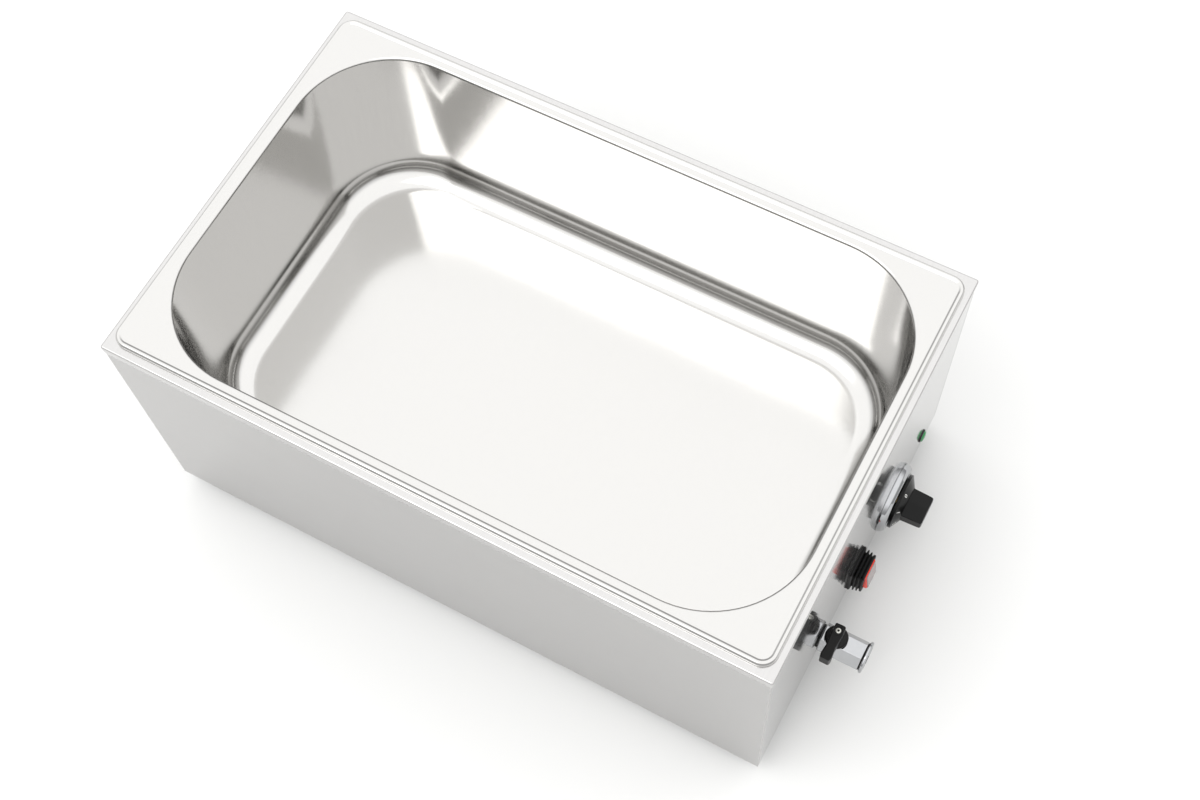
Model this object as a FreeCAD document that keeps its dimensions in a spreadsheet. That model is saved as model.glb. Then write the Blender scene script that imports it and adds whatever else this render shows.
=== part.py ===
"""Countertop steam table: a water well with a full-size gastronorm pan, heated from below.

Origin on the table under the middle of the casing, +Z up, the control panel faces -Y.
The driving sizes are in the sheet "sizes"; every sub-part takes its sizes and place from them.
"""
import FreeCAD, Part

import math
import os
from types import SimpleNamespace

import Sketcher
from FreeCAD import Placement, Rotation, Vector

doc = FreeCAD.newDocument("steam_table")

SIZES = [
    ("unit_width", 338, "rim, across the long walls"),
    ("unit_length", 540, "rim, from the control panel to the rear wall"),
    ("deck_height", 247, "top of the rim above the table"),
    ("foot_height", 15, "rubber foot under the base plate"),
    ("sheet", 1, "thickness of the casing, basin and base sheets"),
    ("rim_skirt", 12, "height of the rim's turned-down edge"),
    ("rim_roll", 2, "outside radius of the bent rim edge"),
    ("casing_bend", 2.5, "outside bend radius of the casing corners"),
    ("casing_flange", 14, "bottom flange, from the outside of the wall"),
    ("pan_flange_width", 325, "gastronorm 1/1 flange"),
    ("pan_flange_length", 530, "gastronorm 1/1 flange"),
    ("pan_mouth_width", 303, "inside of the pan at its mouth"),
    ("pan_mouth_length", 508, "inside of the pan at its mouth"),
    ("pan_corner", 78, "inside corner radius at the mouth"),
    ("pan_depth", 150, "outside depth of the pan"),
    ("pan_wall", 1, "sheet of the pan"),
    ("pan_flange_rise", 3.5, "pan flange above the deck"),
    ("pan_flange_corner", 12, "plan corner of the flange"),
    ("pan_draft", 3, "wall draft in degrees"),
    ("pan_floor_round", 20, "inside radius at the pan floor"),
    ("well_clearance", 2, "well wall past the pan wall at the mouth"),
    ("well_corner", 60, "plan corner radius of the well"),
    ("well_floor_round", 14, "inside radius at the well floor"),
    ("well_floor_height", 70, "inside floor of the well above the table"),
    ("plate_gap", 1.5, "base plate edge inside the casing face"),
    ("foot_inset", 30, "foot centre from the casing walls"),
    ("foot_radius", 15, "rubber foot at the table"),
    ("foot_screw", 2.4, "radius of the foot screw"),
    ("foot_recess", 8, "depth of the screw recess in the foot"),
    ("base_screw", 1.9, "radius of the base plate screws"),
    ("screw_gap", 0.2, "radial gap of a screw in its hole"),
    ("control_height", 47, "axis of every control above the table"),
    ("knob_place", 71, "thermostat axis along the panel"),
    ("lamp_place", 131.5, "pilot lamp axis along the panel"),
    ("switch_place", 3, "switch centre along the panel"),
    ("tap_place", -60, "drain tap axis along the panel"),
    ("gland_place", 100, "cable gland axis along the rear wall"),
    ("bezel_radius", 30, "thermostat bezel"),
    ("bezel_rise", 6.4, "bezel rim off the panel"),
    ("skirt_radius", 23.2, "knob skirt"),
    ("skirt_gap", 0.5, "knob skirt off the bezel"),
    ("skirt_thick", 2.8, "edge of the knob skirt"),
    ("cone_radius", 14.5, "top of the knob cone"),
    ("cone_rise", 4.6, "height of the knob cone"),
    ("grip_width", 26.6, "knob grip at its foot"),
    ("grip_thick", 14, "knob grip at its middle"),
    ("grip_edge", 10, "knob grip at its ends"),
    ("grip_rise", 17.2, "length of the knob grip"),
    ("spindle_radius", 3, "thermostat spindle"),
    ("running_gap", 0.05, "radial gap of a turning shaft"),
    ("slip_gap", 0.1, "gap between plain fixed pieces"),
    ("bushing_radius", 4.8, "thermostat bushing"),
    ("thermostat_width", 42, "thermostat case along the panel"),
    ("thermostat_high", 34, "thermostat case, upright"),
    ("thermostat_deep", 28, "thermostat case behind the panel"),
    ("thermostat_screw_pitch", 28, "between the two case screws"),
    ("lens_radius", 5.8, "pilot lamp lens"),
    ("lens_rise", 3, "pilot lamp lens off the panel"),
    ("lamp_body_radius", 4.9, "pilot lamp body"),
    ("lamp_body_deep", 30, "pilot lamp body behind the panel"),
    ("rocker_width", 17.9, "rocker across"),
    ("rocker_high", 23.2, "rocker, upright"),
    ("rocker_rise", 15.2, "rocker face from its pivot"),
    ("rocker_tilt", 7.4, "degrees each side of the middle"),
    ("rocker_pin", 1.5, "radius of the rocker pivot"),
    ("rocker_sink", 1.5, "rocker pivot behind the panel face"),
    ("rocker_room", 0.35, "gap beside the rocker"),
    ("rocker_swing_room", 2.6, "gap above and below the rocker"),
    ("switch_width", 21.6, "switch case across"),
    ("switch_high", 29.8, "switch case, upright"),
    ("switch_deep", 27, "switch case behind the panel"),
    ("boot_width", 28, "rubber boot flange across"),
    ("boot_high", 36, "rubber boot flange, upright"),
    ("boot_rise", 12.8, "rubber boot off the panel"),
    ("pipe_radius", 8, "drain pipe, outside"),
    ("pipe_bore", 6, "drain pipe, inside radius"),
    ("pipe_bend", 20, "centreline radius of the drain bend"),
    ("drain_inset", 29, "drain hole from the end of the well"),
    ("pipe_in_valve", 3, "pipe inside the valve inlet"),
    ("gasket_thick", 1, "gasket between panel and valve"),
    ("valve_hex", 21.3, "drain valve body across flats"),
    ("valve_length", 35.3, "drain valve body"),
    ("lever_reach", 12.1, "lever axis off the panel"),
    ("ball_radius", 7, "valve ball"),
    ("ball_bore", 4.5, "bore of the ball and its seats"),
    ("stem_radius", 3, "valve stem"),
    ("outlet_radius", 13.15, "outlet ring"),
    ("outlet_thick", 2.6, "outlet ring"),
    ("outlet_bore", 5.5, "radius of the outlet"),
    ("outlet_seal", 0.7, "seal between body and outlet ring"),
    ("lever_long", 24.8, "lever, axis to tip"),
    ("lever_short", 5.6, "lever, axis to heel"),
    ("lever_width", 9.2, "lever at its hub"),
    ("lever_disc_radius", 9.25, "round skirt under the lever"),
    ("lever_disc_height", 12.2, "underside of the round skirt above the tap axis"),
    ("lever_top", 30, "top of the lever above the tap axis"),
    ("heater_radius", 3.25, "heating tube"),
    ("heater_gap", 0.05, "heating tube under the well floor"),
    ("heater_pitch", 60, "between the heating tube's runs"),
    ("heater_front", -140, "front end of the heating tube"),
    ("heater_back", 170, "start of the rear bends"),
    ("clamp_thick", 1.5, "clamp bar under the heating tube"),
    ("clamp_width", 20, "clamp bar"),
    ("stud_radius", 2.4, "welded studs"),
    ("shield_height", 52, "heat shield above the table"),
    ("nut_flats", 8, "across the flats of the M5 nuts"),
    ("nut_thick", 4, "M5 nut"),
    ("bulb_radius", 3, "sensing bulb"),
    ("bulb_length", 80, "sensing bulb"),
    ("gland_radius", 8, "cable gland thread"),
    ("gland_bore", 4, "cable gland bore radius"),
    ("gland_hex", 22, "cable gland across flats"),
]


def size_names():
    """Write the sheet and return each size with its value and its sheet expression."""
    sheet = doc.addObject("Spreadsheet::Sheet", "sizes")
    found = {}
    for row, (name, value, note) in enumerate(SIZES, start=1):
        sheet.set(f"A{row}", name.replace("_", " "))
        sheet.set(f"B{row}", str(value))
        sheet.set(f"C{row}", note)
        sheet.setAlias(f"B{row}", name)
        found[name] = Size(value, f"sizes.{name}")
    doc.recompute()
    return SimpleNamespace(**found)


class Size:
    """A size with its value now and the expression that the sheet works it out from."""

    def __init__(self, value, text=None):
        self.value = float(value)
        self.text = text or f"({self.value:.10g})"

    def __add__(self, other):
        other = size(other)
        return Size(self.value + other.value, f"({self.text} + {other.text})")

    def __sub__(self, other):
        other = size(other)
        return Size(self.value - other.value, f"({self.text} - {other.text})")

    def __mul__(self, factor):
        factor = size(factor)
        return Size(self.value * factor.value, f"({self.text} * {factor.text})")

    def __truediv__(self, factor):
        factor = size(factor)
        return Size(self.value / factor.value, f"({self.text} / {factor.text})")

    def __neg__(self):
        return self * -1

    __radd__ = __add__
    __rmul__ = __mul__

    def __rsub__(self, other):
        return size(other) - self


def size(number):
    """A plain number as a Size; a Size stays as it is."""
    return number if isinstance(number, Size) else Size(number)


def bind(thing, path, value):
    """Tie one property of a document object to the sheet."""
    thing.setExpression(path, size(value).text)


# ---------------------------------------------------------------- sketches

def sketch(body, name, plane="XY_Plane", offset=0):
    """A sketch on one of the body's own planes, moved by offset along the plane's normal.

    XY_Plane: x, y, normal +Z.  XZ_Plane: x, z, normal -Y.  YZ_Plane: y, z, normal +X.
    """
    made = body.newObject("Sketcher::SketchObject", name)
    support = [part for part in body.Origin.OriginFeatures if part.Role == plane][0]
    made.AttachmentSupport = [(support, "")]
    made.MapMode = "FlatFace"
    bind(made, "AttachmentOffset.Base.z", offset)
    return made


def hold(made, index, point, x, y):
    """Hold one point of a sketch at x, y."""
    for kind, value in (("DistanceX", size(x)), ("DistanceY", size(y))):
        number = made.addConstraint(Sketcher.Constraint(kind, -1, 1, index, point, value.value))
        bind(made, f"Constraints[{number}]", value)


def hold_radius(made, index, radius):
    """Give a circle or an arc of a sketch its radius."""
    number = made.addConstraint(Sketcher.Constraint("Radius", index, size(radius).value))
    bind(made, f"Constraints[{number}]", radius)


def draw_outline(made, points):
    """A closed outline of straight lines."""
    points = [(size(x), size(y)) for x, y in points]
    corners = [Vector(x.value, y.value) for x, y in points]
    count = len(points)
    first = made.GeometryCount
    for here in range(count):
        made.addGeometry(Part.LineSegment(corners[here], corners[(here + 1) % count]), False)
    for here, (x, y) in enumerate(points):
        after = first + (here + 1) % count
        made.addConstraint(Sketcher.Constraint("Coincident", first + here, 2, after, 1))
        hold(made, first + here, 1, x, y)


def draw_block(made, half_x, half_y, x=0, y=0):
    """A rectangle about a centre."""
    x, y = size(x), size(y)
    draw_outline(made, [(x - half_x, y - half_y), (x + half_x, y - half_y),
                        (x + half_x, y + half_y), (x - half_x, y + half_y)])


def draw_circle(made, radius, x=0, y=0):
    """A circle about a centre."""
    x, y, radius = size(x), size(y), size(radius)
    circle = Part.Circle(Vector(x.value, y.value), Vector(0, 0, 1), radius.value)
    index = made.addGeometry(circle, False)
    hold(made, index, 3, x, y)
    hold_radius(made, index, radius)


def draw_rounded(made, half_x, half_y, radius, x=0, y=0):
    """A rectangle with round corners: four lines joined by four tangent arcs."""
    half_x, half_y, radius, x, y = [size(one) for one in (half_x, half_y, radius, x, y)]
    first = made.GeometryCount
    in_x, in_y = half_x - radius, half_y - radius
    middles = [(x + in_x, y - in_y), (x + in_x, y + in_y), (x - in_x, y + in_y), (x - in_x, y - in_y)]
    for turn, (mid_x, mid_y) in enumerate(middles):
        start = math.radians(90 * turn - 90)
        centre = Vector(mid_x.value, mid_y.value)
        before_x, before_y = middles[turn - 1]
        foot = Vector(math.cos(start), math.sin(start)) * radius.value
        straight = Part.LineSegment(Vector(before_x.value, before_y.value) + foot, centre + foot)
        circle = Part.Circle(centre, Vector(0, 0, 1), radius.value)
        made.addGeometry(straight, False)
        made.addGeometry(Part.ArcOfCircle(circle, start, start + math.pi / 2), False)
    for turn, (mid_x, mid_y) in enumerate(middles):
        straight = first + 2 * turn
        arc = straight + 1
        following = first + (2 * turn + 2) % 8
        made.addConstraint(Sketcher.Constraint("Tangent", straight, 2, arc, 1))
        made.addConstraint(Sketcher.Constraint("Tangent", arc, 2, following, 1))
        hold(made, arc, 3, mid_x, mid_y)
        hold_radius(made, arc, radius)


# ---------------------------------------------------------------- features

def new_body(label):
    """A PartDesign body named for its piece."""
    body = doc.addObject("PartDesign::Body", label)
    body.Label = label
    return body


def pad(body, profile, length, taper=0, midplane=False, downward=False):
    """Grow a profile along its normal, or against it, or half each way."""
    made = body.newObject("PartDesign::Pad", f"{profile.Name}_pad")
    made.Profile = profile
    bind(made, "Length", length)
    made.Midplane = midplane
    made.Reversed = downward
    bind(made, "TaperAngle", taper)
    profile.Visibility = False
    doc.recompute()
    return made


def pocket(body, profile, length, taper=0, midplane=False, upward=False):
    """Cut a profile against its normal, or along it, and make sure that metal was removed."""
    before = body.Shape.Volume
    made = body.newObject("PartDesign::Pocket", f"{profile.Name}_cut")
    made.Profile = profile
    bind(made, "Length", length)
    made.Midplane = midplane
    made.Reversed = upward
    bind(made, "TaperAngle", taper)
    doc.recompute()
    if body.Shape.Volume > before - 0.01:
        raise RuntimeError(f"{made.Name} cuts nothing")
    return made


def revolve(body, profile):
    """Turn a profile of the XZ plane about the body's Z axis."""
    made = body.newObject("PartDesign::Revolution", f"{profile.Name}_turned")
    made.Profile = profile
    made.ReferenceAxis = (profile, ["V_Axis"])
    made.Angle = 360
    doc.recompute()
    return made


def edges_at(shape, height):
    """Names of the edges that lie flat at a height."""
    names = []
    for number, edge in enumerate(shape.Edges, start=1):
        box = edge.BoundBox
        flat = abs(box.ZMin - height) < 1e-4 and abs(box.ZMax - height) < 1e-4
        if flat:
            names.append(f"Edge{number}")
    return names


def round_edges(body, names, radius):
    """Fillet edges of the body's last feature."""
    base = body.Tip
    made = body.newObject("PartDesign::Fillet", f"{base.Name}_round")
    made.Base = (base, names)
    bind(made, "Radius", radius)
    doc.recompute()
    return made


UP = Rotation()
DOWN = Rotation(Vector(1, 0, 0), 180)
FRONT = Rotation(Vector(1, 0, 0), 90)
REAR = Rotation(Vector(1, 0, 0), -90)

kept = []


def keep(piece):
    """List a finished sub-part for export."""
    kept.append(piece)
    return piece


def stand(body, x=0, y=0, z=0, facing=UP):
    """Place a body with its own Z axis facing up, down, to the front or to the rear."""
    x, y, z = size(x), size(y), size(z)
    body.Placement = Placement(Vector(x.value, y.value, z.value), facing)
    bind(body, "Placement.Base.x", x)
    bind(body, "Placement.Base.y", y)
    bind(body, "Placement.Base.z", z)
    return body


def turned(label, profile, x=0, y=0, z=0, facing=UP):
    """A turned piece: its profile is (radius, height) points about its own Z axis."""
    body = new_body(label)
    made = sketch(body, f"{label}_profile", "XZ_Plane")
    draw_outline(made, profile)
    revolve(body, made)
    return stand(body, x, y, z, facing)


def hexagon(flats):
    """The six corners of a hexagon with level flats top and bottom."""
    corner = size(flats) / math.sqrt(3)
    rise = size(flats) / 2
    half = corner / 2
    return [(corner, 0), (half, rise), (-half, rise), (-corner, 0), (-half, -rise), (half, -rise)]


def nut(label, flats, thick, hole, x=0, y=0, z=0, facing=UP):
    """A hexagon nut standing on its own origin."""
    body = new_body(label)
    made = sketch(body, f"{label}_hex")
    draw_outline(made, hexagon(flats))
    draw_circle(made, hole)
    pad(body, made, thick)
    return stand(body, x, y, z, facing)


def ring(label, outside, inside, thick, x=0, y=0, z=0, facing=UP):
    """A washer, seal or collar standing on its own origin."""
    profile = [(inside, 0), (outside, 0), (outside, thick), (inside, thick)]
    return turned(label, profile, x, y, z, facing)


def group(label, members):
    """Identical pieces kept together as one node of separate solids."""
    made = doc.addObject("Part::Compound", label)
    made.Label = label
    made.Links = members
    return keep(made)


s = size_names()

wall_x = s.unit_width / 2 - s.sheet
wall_y = s.unit_length / 2 - s.sheet
casing_bottom = s.foot_height + s.sheet
casing_top = s.deck_height - s.rim_roll - 0.5
pan_x = s.pan_mouth_width / 2 + s.pan_wall
pan_y = s.pan_mouth_length / 2 + s.pan_wall
well_x = pan_x + s.well_clearance
well_y = pan_y + s.well_clearance
well_under = s.well_floor_height - s.sheet
drain_y = s.drain_inset - well_y
screw_rows_x = wall_x - s.casing_flange / 2
screw_rows_y = wall_y - s.casing_flange / 2
foot_x = wall_x - s.foot_inset
foot_y = wall_y - s.foot_inset
foot_hole = s.foot_screw + s.screw_gap
lever_y = -wall_y - s.lever_reach
CORNERS = {"front_left": (-1, -1), "front_right": (1, -1), "rear_left": (-1, 1), "rear_right": (1, 1)}


def base_screw_places():
    """Two screws along each wall, a quarter of the wall from its middle."""
    places = []
    for side in (-1, 1):
        for end in (-1, 1):
            places.append((screw_rows_x * side, wall_y * (end * 0.5)))
            places.append((wall_x * (end * 0.5), screw_rows_y * side))
    return places


# ---------------------------------------------------------------- casing and base

def outer_casing():
    """Folded sleeve of sheet with a bottom flange, and the panel and gland holes."""
    body = new_body("outer_casing")
    made = sketch(body, "casing_outside", offset=casing_bottom)
    draw_rounded(made, wall_x, wall_y, s.casing_bend)
    pad(body, made, casing_top - casing_bottom)
    made = sketch(body, "casing_inside", offset=casing_top)
    draw_rounded(made, wall_x - s.sheet, wall_y - s.sheet, s.casing_bend - s.sheet)
    pocket(body, made, casing_top - casing_bottom - s.sheet)
    made = sketch(body, "casing_opening", offset=casing_bottom + s.sheet)
    draw_rounded(made, wall_x - s.casing_flange, wall_y - s.casing_flange, s.casing_bend)
    pocket(body, made, s.sheet)
    made = sketch(body, "panel_holes", "XZ_Plane", wall_y)
    height = s.control_height
    draw_circle(made, s.bushing_radius + s.screw_gap, s.knob_place, height)
    for side in (-0.5, 0.5):
        screw_x = s.knob_place + s.thermostat_screw_pitch * side
        draw_circle(made, s.base_screw + s.screw_gap, screw_x, height)
    draw_circle(made, s.lamp_body_radius + s.slip_gap, s.lamp_place, height)
    draw_block(made, s.switch_width / 2 + s.slip_gap, s.switch_high / 2 + s.slip_gap,
               s.switch_place, height)
    draw_circle(made, s.pipe_radius + s.slip_gap, s.tap_place, height)
    pocket(body, made, s.sheet * 2)
    made = sketch(body, "rear_hole", "XZ_Plane", -wall_y)
    draw_circle(made, s.gland_radius + s.slip_gap, s.gland_place, height)
    pocket(body, made, s.sheet * 2, upward=True)
    made = sketch(body, "flange_holes", offset=casing_bottom + s.sheet)
    for x, y in base_screw_places():
        draw_circle(made, s.base_screw + s.screw_gap, x, y)
    pocket(body, made, s.sheet)
    return keep(body)


def base_plate():
    """Bottom cover with vent slots over the hot bay."""
    body = new_body("base_plate")
    made = sketch(body, "plate_outline", offset=s.foot_height)
    draw_rounded(made, wall_x - s.plate_gap, wall_y - s.plate_gap, s.casing_bend)
    pad(body, made, s.sheet)
    made = sketch(body, "plate_holes", offset=casing_bottom)
    for x, y in base_screw_places():
        draw_circle(made, s.base_screw + s.screw_gap, x, y)
    for side_x, side_y in CORNERS.values():
        draw_circle(made, foot_hole, foot_x * side_x, foot_y * side_y)
    pocket(body, made, s.sheet)
    for name, side in (("left", -1), ("right", 1)):
        vent_slots(body, name, side)
    return keep(body)


def vent_slots(body, name, side):
    """A row of five slots, patterned from the front one."""
    pitch, count = 14, 5
    made = sketch(body, f"slot_{name}", offset=casing_bottom)
    draw_rounded(made, wall_x / 6, 2.5, 2, wall_x * (side * 0.5), -pitch * (count - 1) / 2)
    first = pocket(body, made, s.sheet)
    row = body.newObject("PartDesign::LinearPattern", f"slots_{name}")
    row.Originals = [first]
    row.Direction = (made, ["V_Axis"])
    row.Length = pitch * (count - 1)
    body.Tip = row
    row.Occurrences = count
    doc.recompute()


def screw(label, radius, length, x, y, z, facing, head=1.9, head_high=0.9):
    """Pan-head screw: its head stands on its origin and its shank runs back below it."""
    profile = [(0, -length), (radius, -length), (radius, 0), (radius * head, 0),
               (radius * head, radius * head_high * 0.7), (radius * head * 0.7, radius * head_high * 1.1),
               (0, radius * head_high * 1.1)]
    return turned(label, profile, x, y, z, facing)


def base_screws():
    """Screws that hold the base plate to the casing flange, driven from below."""
    members = [screw(f"base_screw_{number}", s.base_screw, s.sheet * 2 + 5, x, y, s.foot_height, DOWN)
               for number, (x, y) in enumerate(base_screw_places())]
    group("base_screws", members)


def feet():
    """Four rubber feet, their screws and the nuts above the base plate."""
    screws = []
    nuts = []
    for name, (side_x, side_y) in CORNERS.items():
        x, y = foot_x * side_x, foot_y * side_y
        recess = s.foot_screw + 3.6
        profile = [(recess, 0), (s.foot_radius - 1.5, 0), (s.foot_radius, 1.5),
                   (s.foot_radius - 2, s.foot_height), (foot_hole, s.foot_height),
                   (foot_hole, s.foot_recess), (recess, s.foot_recess)]
        keep(turned(f"foot_{name}", profile, x, y))
        shank = s.foot_height - s.foot_recess + s.sheet + s.nut_thick + 2
        screws.append(screw(f"foot_screw_{name}", s.foot_screw, shank, x, y, s.foot_recess, DOWN))
        nuts.append(nut(f"foot_nut_{name}", s.nut_flats, s.nut_thick, foot_hole, x, y, casing_bottom))
    group("foot_screws", screws)
    group("foot_nuts", nuts)


# ---------------------------------------------------------------- basin and heating

def cavity(label, draw, top, depth, taper, floor_round, floor_up=False):
    """A body that stands for a hollow: an outline grown down, or up, with its end edges rounded."""
    body = new_body(label)
    made = sketch(body, f"{label}_outline", offset=top)
    draw(made)
    pad(body, made, depth, taper=taper, downward=True)
    level = top.value if floor_up else top.value - depth.value
    round_edges(body, edges_at(body.Shape, level), floor_round)
    return body


def hollow_out(body, void):
    """Remove a cavity from a body."""
    before = body.Shape.Volume
    made = body.newObject("PartDesign::Boolean", f"{void.Name}_removed")
    made.Type = "Cut"
    made.addObject(void)
    doc.recompute()
    if body.Shape.Volume > before - 0.01:
        raise RuntimeError(f"{made.Name} cuts nothing")


def basin():
    """Rim with a rolled edge, and the deep water well welded into it."""
    body = new_body("basin")
    half_x, half_y = s.unit_width / 2, s.unit_length / 2
    made = sketch(body, "rim_outside", offset=s.deck_height)
    draw_block(made, half_x, half_y)
    pad(body, made, s.rim_skirt, downward=True)
    round_edges(body, edges_at(body.Shape, s.deck_height.value), s.rim_roll)
    hollow_out(body, cavity("rim_void", lambda made: draw_block(made, half_x - s.sheet, half_y - s.sheet),
                            s.deck_height - s.sheet, s.rim_skirt - s.sheet, 0, s.rim_roll - s.sheet, True))
    made = sketch(body, "well_outside", offset=s.deck_height - s.sheet)
    draw_rounded(made, well_x + s.sheet, well_y + s.sheet, s.well_corner + s.sheet)
    pad(body, made, s.deck_height - s.sheet - well_under, downward=True)
    round_edges(body, edges_at(body.Shape, well_under.value), s.well_floor_round + s.sheet)
    hollow_out(body, cavity("well_void", lambda made: draw_rounded(made, well_x, well_y, s.well_corner),
                            s.deck_height, s.deck_height - s.well_floor_height, 0, s.well_floor_round))
    made = sketch(body, "drain_hole", offset=s.well_floor_height)
    draw_circle(made, s.pipe_radius + s.slip_gap, s.tap_place, drain_y)
    pocket(body, made, s.sheet)
    return keep(body)


def heating_element():
    """Sheathed heating tube with four runs joined by three half-round bends."""
    body = new_body("heating_element")
    level = well_under - s.heater_gap - s.heater_radius
    bend = s.heater_pitch / 2
    runs = [s.heater_pitch * (number - 1.5) for number in range(4)]
    front_bend = s.heater_front + bend
    path = sketch(body, "heater_path", offset=level)
    ends = [(s.heater_front, s.heater_back), (s.heater_back, front_bend),
            (front_bend, s.heater_back), (s.heater_back, s.heater_front)]
    for x, (start, end) in zip(runs, ends):
        path.addGeometry(Part.LineSegment(Vector(x.value, start.value), Vector(x.value, end.value)), False)
    for turn in range(3):
        y = s.heater_back if turn % 2 == 0 else front_bend
        x = runs[turn] + bend
        circle = Part.Circle(Vector(x.value, y.value), Vector(0, 0, 1), bend.value)
        first, last = (0, math.pi) if turn % 2 == 0 else (math.pi, 2 * math.pi)
        arc = path.addGeometry(Part.ArcOfCircle(circle, first, last), False)
        into, out_of = (2, 1) if turn % 2 == 0 else (1, 2)
        path.addConstraint(Sketcher.Constraint("Tangent", turn, 2, arc, into))
        path.addConstraint(Sketcher.Constraint("Tangent", turn + 1, 1, arc, out_of))
        hold(path, arc, 3, x, y)
        hold_radius(path, arc, bend)
    for index, point in ((0, 1), (3, 2)):
        path.addConstraint(Sketcher.Constraint("Vertical", index))
        number = path.addConstraint(
            Sketcher.Constraint("DistanceY", -1, 1, index, point, s.heater_front.value))
        bind(path, f"Constraints[{number}]", s.heater_front)
    section = sketch(body, "heater_section", "XZ_Plane", -s.heater_front)
    draw_circle(section, s.heater_radius, runs[0], level)
    sweep(body, section, path)
    keep(body)
    ends = []
    for number, x in enumerate((runs[0], runs[3])):
        insulator = s.heater_radius * 1.3
        profile = [(0, 0), (insulator, 0), (insulator, 9), (1.5, 9), (1.5, 18), (0, 18)]
        ends.append(turned(f"heater_end_{number}", profile, x, s.heater_front, level - s.heater_radius * 0.35,
                           FRONT))
    group("heater_terminals", ends)


def sweep(body, section, path):
    """Carry a section along a path sketch."""
    made = body.newObject("PartDesign::AdditivePipe", f"{path.Name}_sweep")
    made.Profile = section
    made.Spine = path
    doc.recompute()
    return made


def clamp_places():
    """Stud places: three across, between the heating tube's runs, at two clamp bars."""
    bars = {"front": s.heater_front + 80, "rear": s.heater_back - 70}
    return {name: [(s.heater_pitch * step, y) for step in (-1, 0, 1)] for name, y in bars.items()}


def heater_clamps():
    """Two bars that press the heating tube against the well floor, on welded studs."""
    level = well_under - s.heater_gap * 2 - s.heater_radius * 2
    shield_nut = s.shield_height - s.nut_thick
    spacer = level - s.clamp_thick - s.shield_height - s.sheet
    hole = s.stud_radius + s.running_gap
    studs = []
    spacers = []
    nuts = []
    for name, places in clamp_places().items():
        body = new_body(f"clamp_bar_{name}")
        made = sketch(body, f"clamp_{name}_outline", offset=level)
        y = places[0][1]
        draw_block(made, s.heater_pitch * 1.5 + 12, s.clamp_width / 2, 0, y)
        for x, stud_y in places:
            draw_circle(made, s.stud_radius + s.screw_gap, x, stud_y)
        pad(body, made, s.clamp_thick, downward=True)
        keep(body)
        for number, (x, stud_y) in enumerate(places):
            profile = [(0, shield_nut - 2), (s.stud_radius, shield_nut - 2), (s.stud_radius, well_under),
                       (0, well_under)]
            studs.append(turned(f"stud_{name}_{number}", profile, x, stud_y))
            spacers.append(nut(f"clamp_nut_{name}_{number}", s.nut_flats, spacer, hole,
                               x, stud_y, s.shield_height + s.sheet))
            nuts.append(nut(f"shield_nut_{name}_{number}", s.nut_flats, s.nut_thick, hole,
                            x, stud_y, shield_nut))
    group("clamp_studs", studs)
    group("clamp_nuts", spacers)
    group("shield_nuts", nuts)


def heat_shield():
    """Reflector sheet between the heating tube and the wiring below it."""
    body = new_body("heat_shield")
    made = sketch(body, "shield_outline", offset=s.shield_height)
    middle = (s.heater_front + s.heater_back) / 2 + 25
    draw_block(made, s.heater_pitch * 2, (s.heater_back - s.heater_front) / 2 + 5, 0, middle)
    for places in clamp_places().values():
        for x, y in places:
            draw_circle(made, s.stud_radius + s.screw_gap, x, y)
    pad(body, made, s.sheet)
    return keep(body)


def omega_clip(label, radius, x, y, length, depth):
    """Strap with two ears welded to the well floor, holding a round piece against it."""
    body = new_body(label)
    made = sketch(body, f"{label}_outline", "XZ_Plane", -y)
    wall = 0.8
    inner, outer, ear = radius + 0.15, radius + 0.15 + wall, radius + 8
    low = well_under - depth - 0.15
    x = size(x)
    draw_outline(made, [
        (x - ear, well_under), (x - ear, well_under - wall), (x - outer, well_under - wall),
        (x - outer, low - wall), (x + outer, low - wall), (x + outer, well_under - wall),
        (x + ear, well_under - wall), (x + ear, well_under), (x + inner, well_under),
        (x + inner, low), (x - inner, low), (x - inner, well_under)])
    pad(body, made, length, midplane=True)
    return keep(body)


def sensing():
    """Thermostat bulb and safety cut-out, each strapped to the underside of the well."""
    bulb_x = s.heater_pitch
    bulb_z = well_under - s.heater_gap - s.bulb_radius
    bulb_y = s.heater_front - 50
    r = s.bulb_radius
    profile = [(0, 0), (r * 0.6, 0), (r, r * 0.5), (r, s.bulb_length - r * 0.5), (r * 0.6, s.bulb_length),
               (0, s.bulb_length)]
    keep(turned("thermostat_bulb", profile, bulb_x, bulb_y, bulb_z, REAR))
    omega_clip("bulb_clip", r, bulb_x, bulb_y + s.bulb_length / 2, 14, r * 2)
    cutout_y = (s.heater_front + s.heater_back) / 2 + 10
    case = [(0, -10.5), (3, -10.5), (3, -9), (8, -9), (8, -2), (6.5, -0.1), (0, -0.1)]
    keep(turned("safety_cutout", case, -s.heater_pitch, cutout_y, well_under))
    omega_clip("cutout_clip", size(8), -s.heater_pitch, cutout_y, 10, size(10.6))
    capillary(bulb_x, bulb_y, bulb_z)


def capillary(bulb_x, bulb_y, bulb_z):
    """Thin copper tube from the thermostat case to its bulb: straight runs joined by arcs."""
    back = -wall_y + s.sheet + s.thermostat_deep
    start = Vector((s.knob_place + 12).value, back.value, s.control_height.value + 8)
    route = [start, start + Vector(0, 12, 0), Vector(bulb_x.value, bulb_y.value - 14, bulb_z.value),
             Vector(bulb_x.value, bulb_y.value, bulb_z.value)]
    bent_tube("capillary_tube", route, 0.9, 5)


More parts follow.
